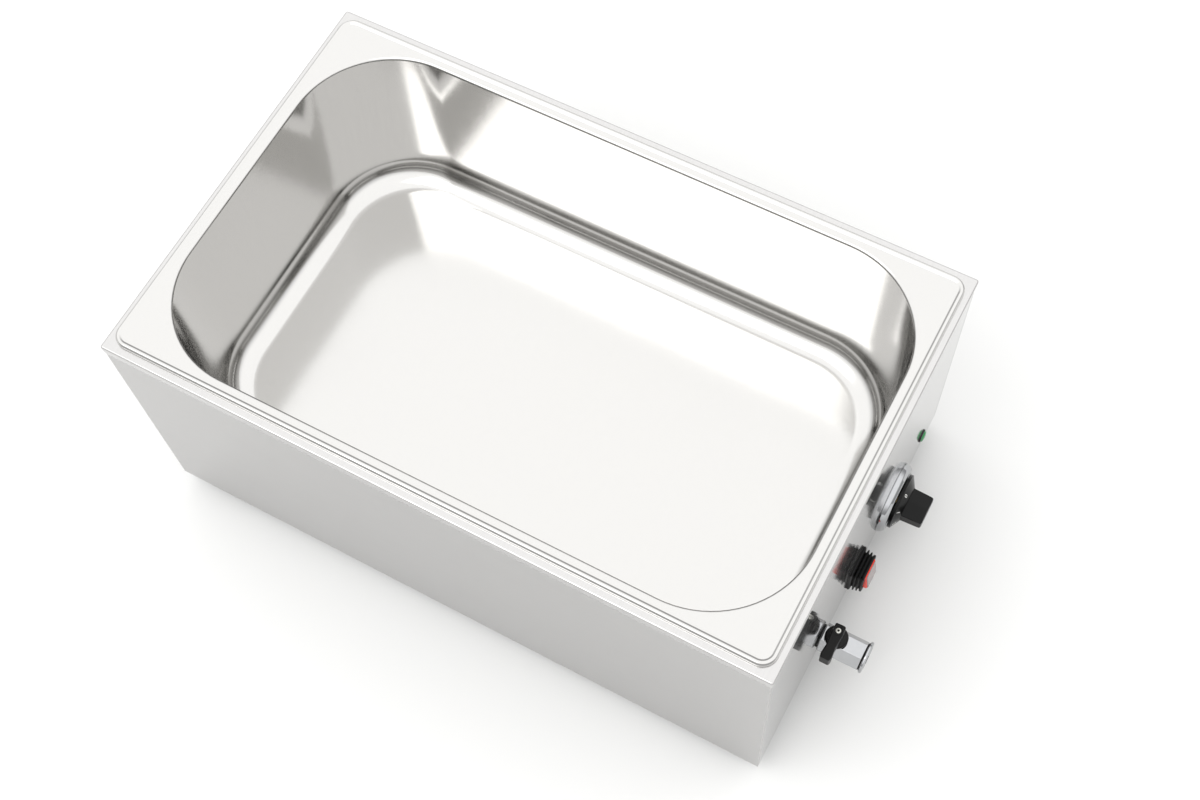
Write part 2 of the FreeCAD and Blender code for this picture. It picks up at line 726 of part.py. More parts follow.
def bent_tube(label, route, radius, bend):
    """A round tube or lead along straight runs joined by tangent arcs."""
    edges = []
    here = route[0]
    for before, corner, after in zip(route, route[1:], route[2:]):
        into = (corner - before).normalize()
        out_of = (after - corner).normalize()
        turn = into.getAngle(out_of)
        cut = bend * math.tan(turn / 2)
        start, end = corner - into * cut, corner + out_of * cut
        inward = (out_of - into).normalize()
        middle = corner + inward * (bend / math.cos(turn / 2) - bend)
        edges.append(Part.LineSegment(here, start).toShape())
        edges.append(Part.Arc(start, middle, end).toShape())
        here = end
    edges.append(Part.LineSegment(here, route[-1]).toShape())
    section = Part.Circle(route[0], route[1] - route[0], radius).toShape()
    made = doc.addObject("Part::Feature", label)
    made.Label = label
    made.Shape = Part.Wire(edges).makePipeShell([Part.Wire([section])], True, False)
    return keep(made)


# ---------------------------------------------------------------- thermostat, knob and lamp

def thermostat():
    """Thermostat case behind the panel, with its bushing through it, and its two screws."""
    body = new_body("thermostat_body")
    inside = s.sheet
    made = sketch(body, "thermostat_case", offset=-inside)
    draw_block(made, s.thermostat_width / 2, s.thermostat_high / 2)
    pad(body, made, s.thermostat_deep, downward=True)
    made = sketch(body, "thermostat_bushing", offset=-inside)
    draw_circle(made, s.bushing_radius)
    pad(body, made, inside + 2)
    made = sketch(body, "thermostat_bore", offset=2)
    draw_circle(made, s.spindle_radius + s.running_gap)
    pocket(body, made, 2 + inside + 12)
    made = sketch(body, "thermostat_tapped", offset=-inside)
    for side in (-0.5, 0.5):
        draw_circle(made, s.base_screw + s.running_gap, s.thermostat_screw_pitch * side, 0)
    pocket(body, made, 8)
    keep(stand(body, s.knob_place, -wall_y, s.control_height, FRONT))
    back_plate = 1
    members = [screw(f"thermostat_screw_{number}", s.base_screw, back_plate + inside + 6,
                     s.knob_place + s.thermostat_screw_pitch * side, -wall_y - back_plate,
                     s.control_height, FRONT, head=1.7, head_high=0.8)
               for number, side in enumerate((-0.5, 0.5))]
    group("thermostat_screws", members)


def knob_bezel():
    """Bright pressed dish behind the knob: flat against the panel, with a raised round rim."""
    body = new_body("knob_bezel")
    made = sketch(body, "bezel_profile", "XZ_Plane")
    edge, rise = s.bezel_radius, s.bezel_rise
    crown = edge - 5.5
    draw_outline(made, [(s.bushing_radius + s.screw_gap, 0), (edge, 0), (edge, 0.8), (edge - 1, rise - 1.2),
                        (edge - 3, rise - 0.2), (crown, rise), (crown - 1.6, rise - 0.4),
                        (crown - 3.2, 1), (s.bushing_radius + s.screw_gap, 1)])
    revolve(body, made)
    made = sketch(body, "bezel_holes", offset=1)
    for side in (-0.5, 0.5):
        draw_circle(made, s.base_screw + s.screw_gap, s.thermostat_screw_pitch * side, 0)
    pocket(body, made, 1)
    return keep(stand(body, s.knob_place, -wall_y, s.control_height, FRONT))


def control_knob():
    """Knob with a round skirt, a cone for the scale and a bar grip, and the spindle it turns."""
    body = new_body("control_knob")
    under = s.bezel_rise + s.skirt_gap
    top = under + s.skirt_thick
    grip_foot = top + s.cone_rise
    grip_end = grip_foot + s.grip_rise
    made = sketch(body, "knob_profile", "XZ_Plane")
    bore = s.spindle_radius + s.running_gap
    draw_outline(made, [(bore, under), (s.skirt_radius, under), (s.skirt_radius, top),
                        (s.cone_radius, grip_foot), (bore, grip_foot)])
    revolve(body, made)
    made = sketch(body, "knob_grip", offset=grip_foot)
    wide, thick, edge = s.grip_width / 2, s.grip_thick / 2, s.grip_edge / 2
    draw_outline(made, [(-wide, -edge), (0, -thick), (wide, -edge), (wide, edge), (0, thick), (-wide, edge)])
    draw_circle(made, bore)
    pad(body, made, s.grip_rise - 3)
    made = sketch(body, "knob_cap", offset=grip_end - 3)
    draw_outline(made, [(-wide, -edge), (0, -thick), (wide, -edge), (wide, edge), (0, thick), (-wide, edge)])
    pad(body, made, 3, taper=-20)
    keep(stand(body, s.knob_place, -wall_y, s.control_height, FRONT))
    end = grip_end - 3.5
    profile = [(0, -12), (s.spindle_radius, -12), (s.spindle_radius, end), (0, end)]
    keep(turned("knob_spindle", profile, s.knob_place, -wall_y, s.control_height, FRONT))


def pilot_lamp():
    """Green lens on the panel, the lamp body behind it and the push nut that holds it."""
    place = (s.lamp_place, -wall_y, s.control_height)
    rise, radius = s.lens_rise, s.lens_radius
    dome = [(0, 0), (radius, 0), (radius, rise * 0.35), (radius * 0.88, rise * 0.62),
            (radius * 0.62, rise * 0.87), (radius * 0.32, rise * 0.97), (0, rise)]
    keep(turned("lamp_lens", dome, *place, facing=FRONT))
    profile = [(0, -s.lamp_body_deep), (s.lamp_body_radius - 1, -s.lamp_body_deep),
               (s.lamp_body_radius, 1 - s.lamp_body_deep), (s.lamp_body_radius, 0), (0, 0)]
    keep(turned("lamp_body", profile, *place, facing=FRONT))
    keep(ring("lamp_push_nut", s.lamp_body_radius + 3.5, s.lamp_body_radius + s.running_gap, 0.8,
              s.lamp_place, -wall_y + s.sheet + 0.8, s.control_height, FRONT))


# ---------------------------------------------------------------- switch

def switch():
    """Switch case in its cut-out, the ribbed rubber boot round it and its blade terminals."""
    place = (s.switch_place, -wall_y, s.control_height)
    half_x, half_y = s.switch_width / 2, s.switch_high / 2
    room_x = s.rocker_width / 2 + s.rocker_room
    room_y = s.rocker_high / 2 + s.rocker_swing_room
    body = new_body("switch_housing")
    made = sketch(body, "switch_case", offset=-s.switch_deep)
    draw_block(made, half_x, half_y)
    pad(body, made, s.switch_deep)
    made = sketch(body, "switch_well")
    draw_block(made, room_x, room_y)
    pocket(body, made, 11)
    made = sketch(body, "switch_pivot", "YZ_Plane", 0)
    draw_circle(made, s.rocker_pin + s.running_gap, 0, -s.rocker_sink - s.rocker_pin)
    pocket(body, made, half_x * 2, midplane=True)
    keep(stand(body, *place, facing=FRONT))
    switch_boot(place, room_x, room_y)
    blades = []
    for number, (x, z) in enumerate([(-5, -7), (-5, 7), (5, -7), (5, 7)]):
        body = new_body(f"switch_blade_{number}")
        made = sketch(body, f"switch_blade_{number}_section", offset=-s.switch_deep)
        draw_block(made, 0.4, 3.1, x, z)
        pad(body, made, 8, downward=True)
        blades.append(stand(body, *place, facing=FRONT))
    group("switch_blades", blades)


def switch_boot(place, room_x, room_y):
    """Rubber boot: a wide lip on the panel, then ribs that step in towards the rocker."""
    body = new_body("switch_boot")
    half_x, half_y = s.boot_width / 2, s.boot_high / 2
    steps = [("lip", 0, 0.26, 1), ("rib_1", 0.26, 0.15, 0), ("neck_1", 0.41, 0.12, 1.6),
             ("rib_2", 0.53, 0.14, 0.9), ("neck_2", 0.67, 0.1, 2), ("rib_3", 0.77, 0.23, 1.6)]
    for name, start, share, inset in steps:
        made = sketch(body, f"boot_{name}", offset=s.boot_rise * start)
        draw_rounded(made, half_x - inset, half_y - inset * 1.6, 2.2)
        pad(body, made, s.boot_rise * share)
    made = sketch(body, "boot_mouth", offset=s.boot_rise)
    draw_block(made, room_x, room_y - 0.2)
    pocket(body, made, s.boot_rise)
    return keep(stand(body, *place, facing=FRONT))


def rocker():
    """Red rocker on its pivot, resting with its top pressed, and its clear window."""
    pivot = (s.switch_place, -wall_y + s.rocker_sink + s.rocker_pin, s.control_height)
    facing = Rotation(Vector(1, 0, 0), 90 - s.rocker_tilt.value)
    half_x, half_y, face = s.rocker_width / 2, s.rocker_high / 2, s.rocker_rise + s.rocker_pin
    body = new_body("rocker")
    made = sketch(body, "rocker_side", "YZ_Plane")
    draw_outline(made, [(-half_y, face), (-half_y, face * 0.55), (-half_y * 0.5, -3), (half_y * 0.5, -3),
                        (half_y, face * 0.55), (half_y, face)])
    pad(body, made, half_x * 2, midplane=True)
    made = sketch(body, "rocker_pivot", "YZ_Plane")
    draw_circle(made, s.rocker_pin)
    pad(body, made, s.switch_width - 0.6, midplane=True)
    keep(stand(body, *pivot, facing=facing))
    bind(body, "Placement.Rotation.Angle", 90 - s.rocker_tilt)
    body = new_body("rocker_window")
    made = sketch(body, "window_outline", offset=face)
    draw_rounded(made, half_x - 0.9, half_y - 1, 1.5)
    pad(body, made, 0.5)
    keep(stand(body, *pivot, facing=facing))
    bind(body, "Placement.Rotation.Angle", 90 - s.rocker_tilt)


# ---------------------------------------------------------------- drain

def drain_pipe():
    """Bent pipe from the well floor to the tap, with the nut that ties it to the panel."""
    body = new_body("drain_pipe")
    axis = s.control_height
    bend_y, bend_z = drain_y - s.pipe_bend, axis + s.pipe_bend
    end = -wall_y - s.gasket_thick - s.pipe_in_valve
    path = sketch(body, "pipe_path", "YZ_Plane", s.tap_place)
    corners = [(drain_y, s.well_floor_height), (drain_y, bend_z), (bend_y, axis), (end, axis)]
    flat = [Vector(y.value, z.value) for y, z in corners]
    path.addGeometry(Part.LineSegment(flat[0], flat[1]), False)
    circle = Part.Circle(Vector(bend_y.value, bend_z.value), Vector(0, 0, 1), s.pipe_bend.value)
    path.addGeometry(Part.ArcOfCircle(circle, -math.pi / 2, 0), False)
    path.addGeometry(Part.LineSegment(flat[2], flat[3]), False)
    path.addConstraint(Sketcher.Constraint("Tangent", 0, 2, 1, 2))
    path.addConstraint(Sketcher.Constraint("Tangent", 1, 1, 2, 1))
    hold(path, 1, 3, bend_y, bend_z)
    hold_radius(path, 1, s.pipe_bend)
    for index, point, (y, z) in ((0, 1, corners[0]), (2, 2, corners[3])):
        hold(path, index, point, y, z)
    section = sketch(body, "pipe_section", offset=s.well_floor_height)
    draw_circle(section, s.pipe_radius, s.tap_place, drain_y)
    draw_circle(section, s.pipe_bore, s.tap_place, drain_y)
    sweep(body, section, path)
    keep(body)
    hole = s.pipe_radius + s.running_gap
    keep(nut("panel_nut", 24, 5, hole, s.tap_place, -wall_y + s.sheet + 5, s.control_height, FRONT))
    keep(ring("tap_gasket", s.valve_hex / 2 + 0.8, hole, s.gasket_thick,
              s.tap_place, -wall_y, s.control_height, FRONT))


def valve():
    """Hexagon valve body with its seats, outlet ring and seal, and the nut that packs the stem."""
    place = (s.tap_place, -wall_y, s.control_height)
    start, length = s.gasket_thick, s.valve_length
    bore = s.pipe_radius + s.running_gap
    body = new_body("valve_body")
    made = sketch(body, "valve_hex", offset=start)
    draw_outline(made, hexagon(s.valve_hex))
    draw_circle(made, bore)
    pad(body, made, length)
    made = sketch(body, "valve_stem_hole", "XZ_Plane", -s.valve_hex / 2)
    draw_circle(made, s.stem_radius + s.running_gap, 0, s.lever_reach)
    pocket(body, made, s.valve_hex / 2, upward=True)
    keep(stand(body, *place, facing=FRONT))
    end = start + length
    keep(ring("outlet_seal", s.valve_hex / 2, bore, s.outlet_seal,
              s.tap_place, -wall_y - end, s.control_height, FRONT))
    seat_start = start + s.pipe_in_valve
    spigot = s.lever_reach * 2 - seat_start
    flange = end + s.outlet_seal
    spout = [(s.outlet_bore, spigot), (s.pipe_radius, spigot), (s.pipe_radius, flange),
             (s.outlet_radius, flange), (s.outlet_radius, flange + s.outlet_thick),
             (s.outlet_bore, flange + s.outlet_thick)]
    keep(turned("outlet_ring", spout, *place, facing=FRONT))
    seat_low, seat_high = s.lever_reach - s.ball_radius * 0.843, s.lever_reach - s.ball_radius * 0.443
    seat = [(s.ball_bore, seat_start), (s.pipe_radius, seat_start), (s.pipe_radius, seat_high),
            (s.ball_radius, seat_high), (s.ball_bore, seat_low)]
    inlet = turned("seat_inlet", seat, *place, facing=FRONT)
    outlet = turned("seat_outlet", seat, s.tap_place, -wall_y - s.lever_reach * 2, s.control_height, REAR)
    group("valve_seats", [inlet, outlet])
    keep(nut("packing_nut", 12, s.lever_disc_height - s.valve_hex / 2 - 0.35, s.stem_radius + s.running_gap,
             s.tap_place, lever_y, s.control_height + s.valve_hex / 2))


def lever():
    """Lever over the valve with its screw, and the stem and ball that it turns; closed at rest."""
    place = (s.tap_place, lever_y, s.control_height)
    low, top = s.lever_disc_height, s.lever_top
    arm_low = low + 5
    body = new_body("lever_handle")
    made = sketch(body, "lever_disc", offset=low)
    draw_circle(made, s.lever_disc_radius)
    pad(body, made, 3)
    made = sketch(body, "lever_arm", offset=arm_low)
    wide, tip = s.lever_width / 2, s.lever_width * 0.41
    nose = 1.6
    draw_outline(made, [(s.lever_short, -wide + nose), (s.lever_short, wide - nose),
                        (s.lever_short - nose, wide), (0, wide), (-s.lever_long + nose, tip),
                        (-s.lever_long, tip - nose), (-s.lever_long, -tip + nose),
                        (-s.lever_long + nose, -tip), (0, -wide), (s.lever_short - nose, -wide)])
    pad(body, made, top - arm_low)
    made = sketch(body, "lever_hub", offset=low + 3)
    draw_circle(made, s.lever_width / 2 - 0.2)
    pad(body, made, 2)
    made = sketch(body, "lever_stem_bore", offset=low)
    draw_circle(made, s.stem_radius + s.running_gap)
    pocket(body, made, 11, upward=True)
    made = sketch(body, "lever_screw_bore", offset=top)
    draw_circle(made, 1.7)
    pocket(body, made, top - low - 11)
    made = sketch(body, "lever_screw_recess", offset=top)
    draw_circle(made, 3.3)
    pocket(body, made, 2)
    keep(stand(body, *place))
    keep(screw("lever_screw", size(1.5), top - low - 11 - 2 + 6, s.tap_place, lever_y,
               s.control_height + top - 2, UP, head=1.9, head_high=0.8))
    stem_low = s.ball_radius * 0.8
    stem = [(0, stem_low), (s.stem_radius, stem_low), (s.stem_radius, low + 11), (1.55, low + 11),
            (1.55, low + 3), (0, low + 3)]
    keep(turned("valve_stem", stem, *place))
    valve_ball(place, stem_low)


def valve_ball(place, flat_height):
    """Bored ball with a flat under the stem; its bore lies across the flow at rest."""
    ball = doc.addObject("Part::Sphere", "ball_sphere")
    bind(ball, "Radius", s.ball_radius)
    bore = doc.addObject("Part::Cylinder", "ball_bore")
    bore.Placement = Placement(Vector(-s.ball_radius.value * 2, 0, 0), Rotation(Vector(0, 1, 0), 90))
    bind(bore, "Radius", s.ball_bore)
    bind(bore, "Height", s.ball_radius * 4)
    bind(bore, "Placement.Base.x", s.ball_radius * -2)
    flat = doc.addObject("Part::Box", "ball_flat")
    for path, value in (("Length", s.ball_radius * 2), ("Width", s.ball_radius * 2),
                        ("Height", s.ball_radius), ("Placement.Base.x", -s.ball_radius),
                        ("Placement.Base.y", -s.ball_radius), ("Placement.Base.z", flat_height)):
        bind(flat, path, value)
    tools = doc.addObject("Part::Fuse", "ball_cuts")
    tools.Base, tools.Tool = bore, flat
    made = doc.addObject("Part::Cut", "valve_ball")
    made.Base, made.Tool = ball, tools
    made.Label = "valve_ball"
    return keep(stand(made, *place))


# ---------------------------------------------------------------- mains entry

def mains_entry():
    """Cable gland in the rear wall, its cap and lock nut, the terminal block and the earth stud."""
    place = (s.gland_place, wall_y, s.control_height)
    body = new_body("cable_gland")
    made = sketch(body, "gland_hex")
    draw_outline(made, hexagon(s.gland_hex))
    pad(body, made, 5)
    made = sketch(body, "gland_thread", offset=-9)
    draw_circle(made, s.gland_radius)
    pad(body, made, 9)
    made = sketch(body, "gland_nose", offset=5)
    draw_circle(made, s.gland_radius - 0.5)
    pad(body, made, 6)
    made = sketch(body, "gland_way", offset=11)
    draw_circle(made, s.gland_bore)
    pocket(body, made, 20)
    keep(stand(body, *place, facing=REAR))
    cap_in, cap_out = s.gland_radius - 0.45, s.gland_hex / 2 - 0.6
    cap = [(cap_in, 5.3), (cap_out, 5.3), (cap_out, 11), (cap_out - 2.5, 15), (cap_out - 4.5, 16),
           (s.gland_bore, 16), (s.gland_bore, 11.2), (cap_in, 11.2)]
    keep(turned("gland_cap", cap, *place, facing=REAR))
    keep(nut("gland_locknut", s.gland_hex, 4, s.gland_radius + s.running_gap,
             s.gland_place, wall_y - s.sheet - 4, s.control_height, REAR))
    terminal_block()


def terminal_block():
    """Three-way block on the base plate near the gland, and the earth stud beside it."""
    x, y, z = s.gland_place, wall_y - 60, casing_bottom
    body = new_body("terminal_block")
    made = sketch(body, "block_outline")
    draw_block(made, 22, 10)
    pad(body, made, 16)
    made = sketch(body, "block_ways", "XZ_Plane")
    for step in (-1, 0, 1):
        draw_circle(made, 2.2, 13 * step, 7)
    pocket(body, made, 24, midplane=True)
    made = sketch(body, "block_screws", offset=16)
    for step in (-1, 0, 1):
        for side in (-1, 1):
            draw_circle(made, 1.8, 13 * step, 5.5 * side)
    pocket(body, made, 7)
    keep(stand(body, x, y, z))
    stud = [(0, 0), (3.6, 0), (3.6, 1.2), (2.4, 1.2), (2.4, 15), (0, 15)]
    stud_x = x - 50
    keep(turned("earth_stud", stud, stud_x, y, z))
    keep(nut("earth_nut", s.nut_flats, s.nut_thick, s.stud_radius + s.running_gap,
             stud_x, y, z + 1.2))


# ---------------------------------------------------------------- pan

def gn_pan():
    """Full-size gastronorm pan: hollow flange with a turned edge, and a deep tapered well."""
    body = new_body("gn_pan")
    top = s.deck_height + s.pan_flange_rise
    half_x, half_y = s.pan_flange_width / 2, s.pan_flange_length / 2
    edge = s.pan_wall + 0.2
    under = top - s.pan_wall
    made = sketch(body, "flange_outline", offset=top)
    draw_rounded(made, half_x, half_y, s.pan_flange_corner)
    pad(body, made, s.pan_flange_rise, downward=True)
    made = sketch(body, "flange_hollow", offset=s.deck_height)
    draw_rounded(made, half_x - edge, half_y - edge, s.pan_flange_corner - edge)
    pocket(body, made, s.pan_flange_rise - s.pan_wall, upward=True)
    made = sketch(body, "pan_outside", offset=under)
    draw_rounded(made, pan_x, pan_y, s.pan_corner + s.pan_wall)
    pad(body, made, s.pan_depth - s.pan_wall, taper=-s.pan_draft, downward=True)
    floor = top.value - s.pan_depth.value
    round_edges(body, edges_at(body.Shape, floor), s.pan_floor_round + s.pan_wall)
    round_edges(body, root_edges(body.Shape, under.value), 2)
    mouth_x, mouth_y = s.pan_mouth_width / 2, s.pan_mouth_length / 2
    hollow_out(body, cavity("pan_void", lambda made: draw_rounded(made, mouth_x, mouth_y, s.pan_corner),
                            top, s.pan_depth - s.pan_wall, -s.pan_draft, s.pan_floor_round))
    round_edges(body, mouth_edges(body.Shape, top.value), s.pan_wall + 2)
    return keep(body)


def root_edges(shape, height):
    """Edges at a height where the pan's wall meets its flange."""
    reach_x, reach_y = pan_x.value + 0.6, pan_y.value + 0.6
    return [name for name in edges_at(shape, height) if within(shape, name, reach_x, reach_y)]


def mouth_edges(shape, height):
    """Edges at a height round the pan's mouth."""
    reach_x, reach_y = s.pan_mouth_width.value / 2 + 0.6, s.pan_mouth_length.value / 2 + 0.6
    return [name for name in edges_at(shape, height) if within(shape, name, reach_x, reach_y)]


def within(shape, name, reach_x, reach_y):
    """True for an edge inside a block about the origin."""
    box = shape.Edges[int(name[4:]) - 1].BoundBox
    return max(abs(box.XMin), abs(box.XMax)) < reach_x and max(abs(box.YMin), abs(box.YMax)) < reach_y


def check_and_export():
    """Refuse any broken object or empty shape, then write one STEP file for each sub-part."""
    doc.recompute()
    broken = [made.Label for made in doc.Objects if {"Invalid", "Error"} & set(made.State)]
    if broken:
        raise RuntimeError(f"broken: {broken}")
    os.makedirs("parts", exist_ok=True)
    for piece in kept:
        shape = piece.Shape
        if shape.isNull() or not shape.isValid() or shape.Volume < 0.01:
            raise RuntimeError(f"bad shape: {piece.Label}")
        shape.exportStep(f"parts/{piece.Label}.step")


outer_casing()
base_plate()
base_screws()
feet()
basin()
heating_element()
heater_clamps()
heat_shield()
sensing()
thermostat()
knob_bezel()
control_knob()
pilot_lamp()
switch()
rocker()
drain_pipe()
valve()
lever()
mains_entry()
gn_pan()
check_and_export()
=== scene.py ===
"""Countertop steam table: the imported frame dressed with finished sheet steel, chrome, rubber and plastic.

Everything is in metres in the frame's own axes: +Z up, the control panel faces -Y.
Profiles are written in millimetres and turned to metres once, in piece().
"""
import math

import bmesh
import bpy
import numpy as np
from mathutils import Matrix, Vector


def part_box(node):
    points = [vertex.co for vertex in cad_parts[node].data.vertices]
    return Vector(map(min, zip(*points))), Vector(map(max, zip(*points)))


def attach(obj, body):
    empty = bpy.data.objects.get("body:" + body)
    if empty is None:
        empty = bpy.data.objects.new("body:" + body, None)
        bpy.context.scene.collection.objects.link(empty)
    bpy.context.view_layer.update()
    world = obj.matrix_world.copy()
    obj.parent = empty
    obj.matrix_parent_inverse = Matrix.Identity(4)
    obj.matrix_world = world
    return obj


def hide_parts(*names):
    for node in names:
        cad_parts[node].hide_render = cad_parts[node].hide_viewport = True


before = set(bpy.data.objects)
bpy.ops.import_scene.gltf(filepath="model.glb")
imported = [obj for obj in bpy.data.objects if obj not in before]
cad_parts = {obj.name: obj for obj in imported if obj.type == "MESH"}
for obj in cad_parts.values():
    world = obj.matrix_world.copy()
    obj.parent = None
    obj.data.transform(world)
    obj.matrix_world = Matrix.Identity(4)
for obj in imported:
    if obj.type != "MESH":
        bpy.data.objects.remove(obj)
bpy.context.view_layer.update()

MM = 0.001


def corners_of(node):
    """A node's lowest and highest corner, in millimetres."""
    low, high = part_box(node)
    return np.array(low) / MM, np.array(high) / MM


def middle_of(node):
    """The middle of a node's box, in millimetres."""
    low, high = corners_of(node)
    return (low + high) / 2


RIM_LOW, RIM_HIGH = corners_of("basin")
PAN_LOW, PAN_HIGH = corners_of("gn_pan")
CASE_LOW, CASE_HIGH = corners_of("outer_casing")
DECK = RIM_HIGH[2]
PANEL = CASE_LOW[1]
REAR_WALL = CASE_HIGH[1]
SHEET = 1.0
WELD_GAP = 2e-6     # metres: corners nearer than this are one corner

FACING = {
    "up": np.array([[1, 0, 0], [0, 1, 0], [0, 0, 1]], float),
    "down": np.array([[1, 0, 0], [0, -1, 0], [0, 0, -1]], float),
    "front": np.array([[1, 0, 0], [0, 0, 1], [0, -1, 0]], float),
    "rear": np.array([[1, 0, 0], [0, 0, -1], [0, 1, 0]], float),
}


# ---------------------------------------------------------------- outlines and surfaces

def unit(vectors):
    """Vectors of length one."""
    return vectors / np.linalg.norm(vectors, axis=-1, keepdims=True)


def arcs(before, here, after, radius, steps):
    """An arc at each corner, tangent to the run into it and the run out of it.

    The arc's centre lies on the corner's bisector, and its points turn evenly from one tangent point
    to the other: a weighted sum of the two end radii with sines as the weights.
    """
    into, out_of = unit(here - before), unit(after - here)
    turn = np.arccos(np.clip((into * out_of).sum(-1), -1, 1 - 1e-9))[..., None]
    reach = radius[..., None] * np.tan(turn / 2)
    centre = here + unit(out_of - into) * radius[..., None] / np.cos(turn / 2)
    first, last = here - into * reach - centre, here + out_of * reach - centre
    share = np.linspace(0, 1, steps + 1)[:, None]
    turn = turn[..., None, :]
    weighted = np.sin((1 - share) * turn) * first[..., None, :] + np.sin(share * turn) * last[..., None, :]
    return centre[..., None, :] + weighted / np.sin(turn)


def line(corners, steps=6):
    """An open line through corners (across, height, radius) with an arc at each inner corner."""
    table = np.array(corners, float)
    spots, radius = table[:, :2], np.maximum(table[:, 2], 1e-3)
    bends = arcs(spots[:-2], spots[1:-1], spots[2:], radius[1:-1], steps).reshape(-1, 2)
    return np.concatenate([spots[:1], bends, spots[-1:]])


def loop(corners, radius, inset=0.0, steps=5):
    """A closed outline, anticlockwise, moved inwards by inset, with an arc of the same radius at each corner.

    Each corner moves along the sum of its two edges' normals, far enough for both edges to move by inset.
    """
    spots = np.array(corners, float)
    along = unit(np.roll(spots, -1, 0) - spots)
    normal = np.stack([along[:, 1], -along[:, 0]], -1)
    earlier = np.roll(normal, 1, 0)
    spots = spots - inset * (normal + earlier) / (1 + (normal * earlier).sum(-1, keepdims=True))
    radii = np.full(len(spots), max(radius - inset, 0.05))
    return arcs(np.roll(spots, 1, 0), spots, np.roll(spots, -1, 0), radii, steps).reshape(-1, 2)


def stack(corners, radius, levels, steps=5):
    """One outline repeated at levels (inset, height): the side faces of a pad with shaped edges."""
    rows = [np.c_[loop(corners, radius, inset, steps), np.full(len(corners) * (steps + 1), height)]
            for inset, height in levels]
    return np.array(rows)


def block(half_x, half_y):
    """The corners of a rectangle about the origin, anticlockwise."""
    return [(half_x, -half_y), (half_x, half_y), (-half_x, half_y), (-half_x, -half_y)]


def hexagon(flats):
    """The corners of a hexagon with level flats top and bottom, anticlockwise."""
    angle = np.radians(np.arange(0, 360, 60))
    return np.c_[np.cos(angle), np.sin(angle)] * flats / math.sqrt(3)


def rings(half_x, half_y, radius, height, turn=14, side=8):
    """Rounded rectangles about the origin, one for each row: quarter arcs joined by straight runs."""
    half_x, half_y, radius, height = np.broadcast_arrays(half_x, half_y, radius, height)
    half_x, half_y, radius = (np.asarray(v, float)[:, None] for v in (half_x, half_y, radius))
    quarter = np.linspace(0, np.pi / 2, turn + 1)
    bends = []
    for number, (side_x, side_y) in enumerate(((1, 1), (-1, 1), (-1, -1), (1, -1))):
        angle = quarter + number * np.pi / 2
        bends.append(np.stack([side_x * (half_x - radius) + radius * np.cos(angle),
                               side_y * (half_y - radius) + radius * np.sin(angle)], -1))
    share = np.linspace(0, 1, side + 2)[1:-1, None]
    runs = []
    for here, after in zip(bends, bends[1:] + bends[:1]):
        runs += [here, here[:, -1:] * (1 - share) + after[:, :1] * share]
    flat = np.concatenate(runs, 1)
    levels = np.broadcast_to(np.asarray(height, float)[:, None, None], flat.shape[:2] + (1,))
    return np.concatenate([flat, levels], -1)


def turned(profile, steps=64):
    """A profile of (radius, height) turned about the Z axis."""
    profile = np.asarray(profile, float)
    angle = np.linspace(0, 2 * np.pi, steps, endpoint=False)
    across = profile[:, :1, None] * np.stack([np.cos(angle), np.sin(angle)], -1)[None]
    height = np.broadcast_to(profile[:, 1, None, None], across.shape[:2] + (1,))
    return np.concatenate([across, height], -1)


def shell(points, capped=True, ring=False, origin=(0, 0, 0), facing="up"):
    """Rows of closed outlines as (vertices, faces), with quads between neighbouring rows.

    The first and last rows either get a flat end each or join each other as a closed ring.
    """
    rows, count = points.shape[:2]
    index = np.arange(rows * count).reshape(rows, count)
    if ring:
        index = np.concatenate([index, index[:1]])
    after = np.roll(index, -1, 1)
    quads = np.stack([index[:-1], after[:-1], after[1:], index[1:]], -1).reshape(-1, 4)
    faces = quads.tolist()
    if capped and not ring:
        faces += [index[0, ::-1].tolist(), index[-1].tolist()]
    placed = points.reshape(-1, 3) @ FACING[facing] + np.asarray(origin, float)
    return placed, faces


def piece(name, shells, body, material, replaces=(), crease=32):
    """A mesh made of closed shells, welded, facing outwards and smooth except at its creases."""
    vertices, faces, start = [], [], 0
    for placed, their_faces in shells:
        vertices.append(placed * MM)
        faces += [[start + corner for corner in face] for face in their_faces]
        start += len(placed)
    mesh = bpy.data.meshes.new(name)
    mesh.from_pydata(np.concatenate(vertices).tolist(), [], faces)
    work = bmesh.new()
    work.from_mesh(mesh)
    bmesh.ops.remove_doubles(work, verts=work.verts, dist=WELD_GAP)
    bmesh.ops.recalc_face_normals(work, faces=work.faces)
    work.to_mesh(mesh)
    work.free()
    mesh.polygons.foreach_set("use_smooth", np.ones(len(mesh.polygons), bool))
    mesh.set_sharp_from_angle(angle=math.radians(crease))
    mesh.materials.append(material)
    made = bpy.data.objects.new(name, mesh)
    bpy.context.scene.collection.objects.link(made)
    level = made.modifiers.new("flat_faces_stay_flat", "WEIGHTED_NORMAL")
    level.keep_sharp = True
    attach(made, body)
    if replaces:
        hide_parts(*replaces)
    return made


# ---------------------------------------------------------------- materials

def colour(code):
    """A sRGB hex value as linear red, green, blue and alpha."""
    values = [int(code[start:start + 2], 16) / 255 for start in (1, 3, 5)]
    return [v / 12.92 if v <= 0.04045 else ((v + 0.055) / 1.055) ** 2.4 for v in values] + [1]


def add(tree, kind, inputs=None, **settings):
    """Adds one node with its settings, its constant inputs and its links."""
    node = tree.nodes.new(kind)
    for name, value in settings.items():
        setattr(node, name, value)
    for name, value in (inputs or {}).items():
        if isinstance(value, bpy.types.NodeSocket):
            tree.links.new(value, node.inputs[name])
        else:
            node.inputs[name].default_value = value
    return node


def start(name):
    """A new material's tree and its object coordinates."""
    made = bpy.data.materials.new(name)
    made.use_nodes = True
    made.node_tree.nodes.clear()
    place = add(made.node_tree, "ShaderNodeTexCoord").outputs["Object"]
    return made, made.node_tree, place


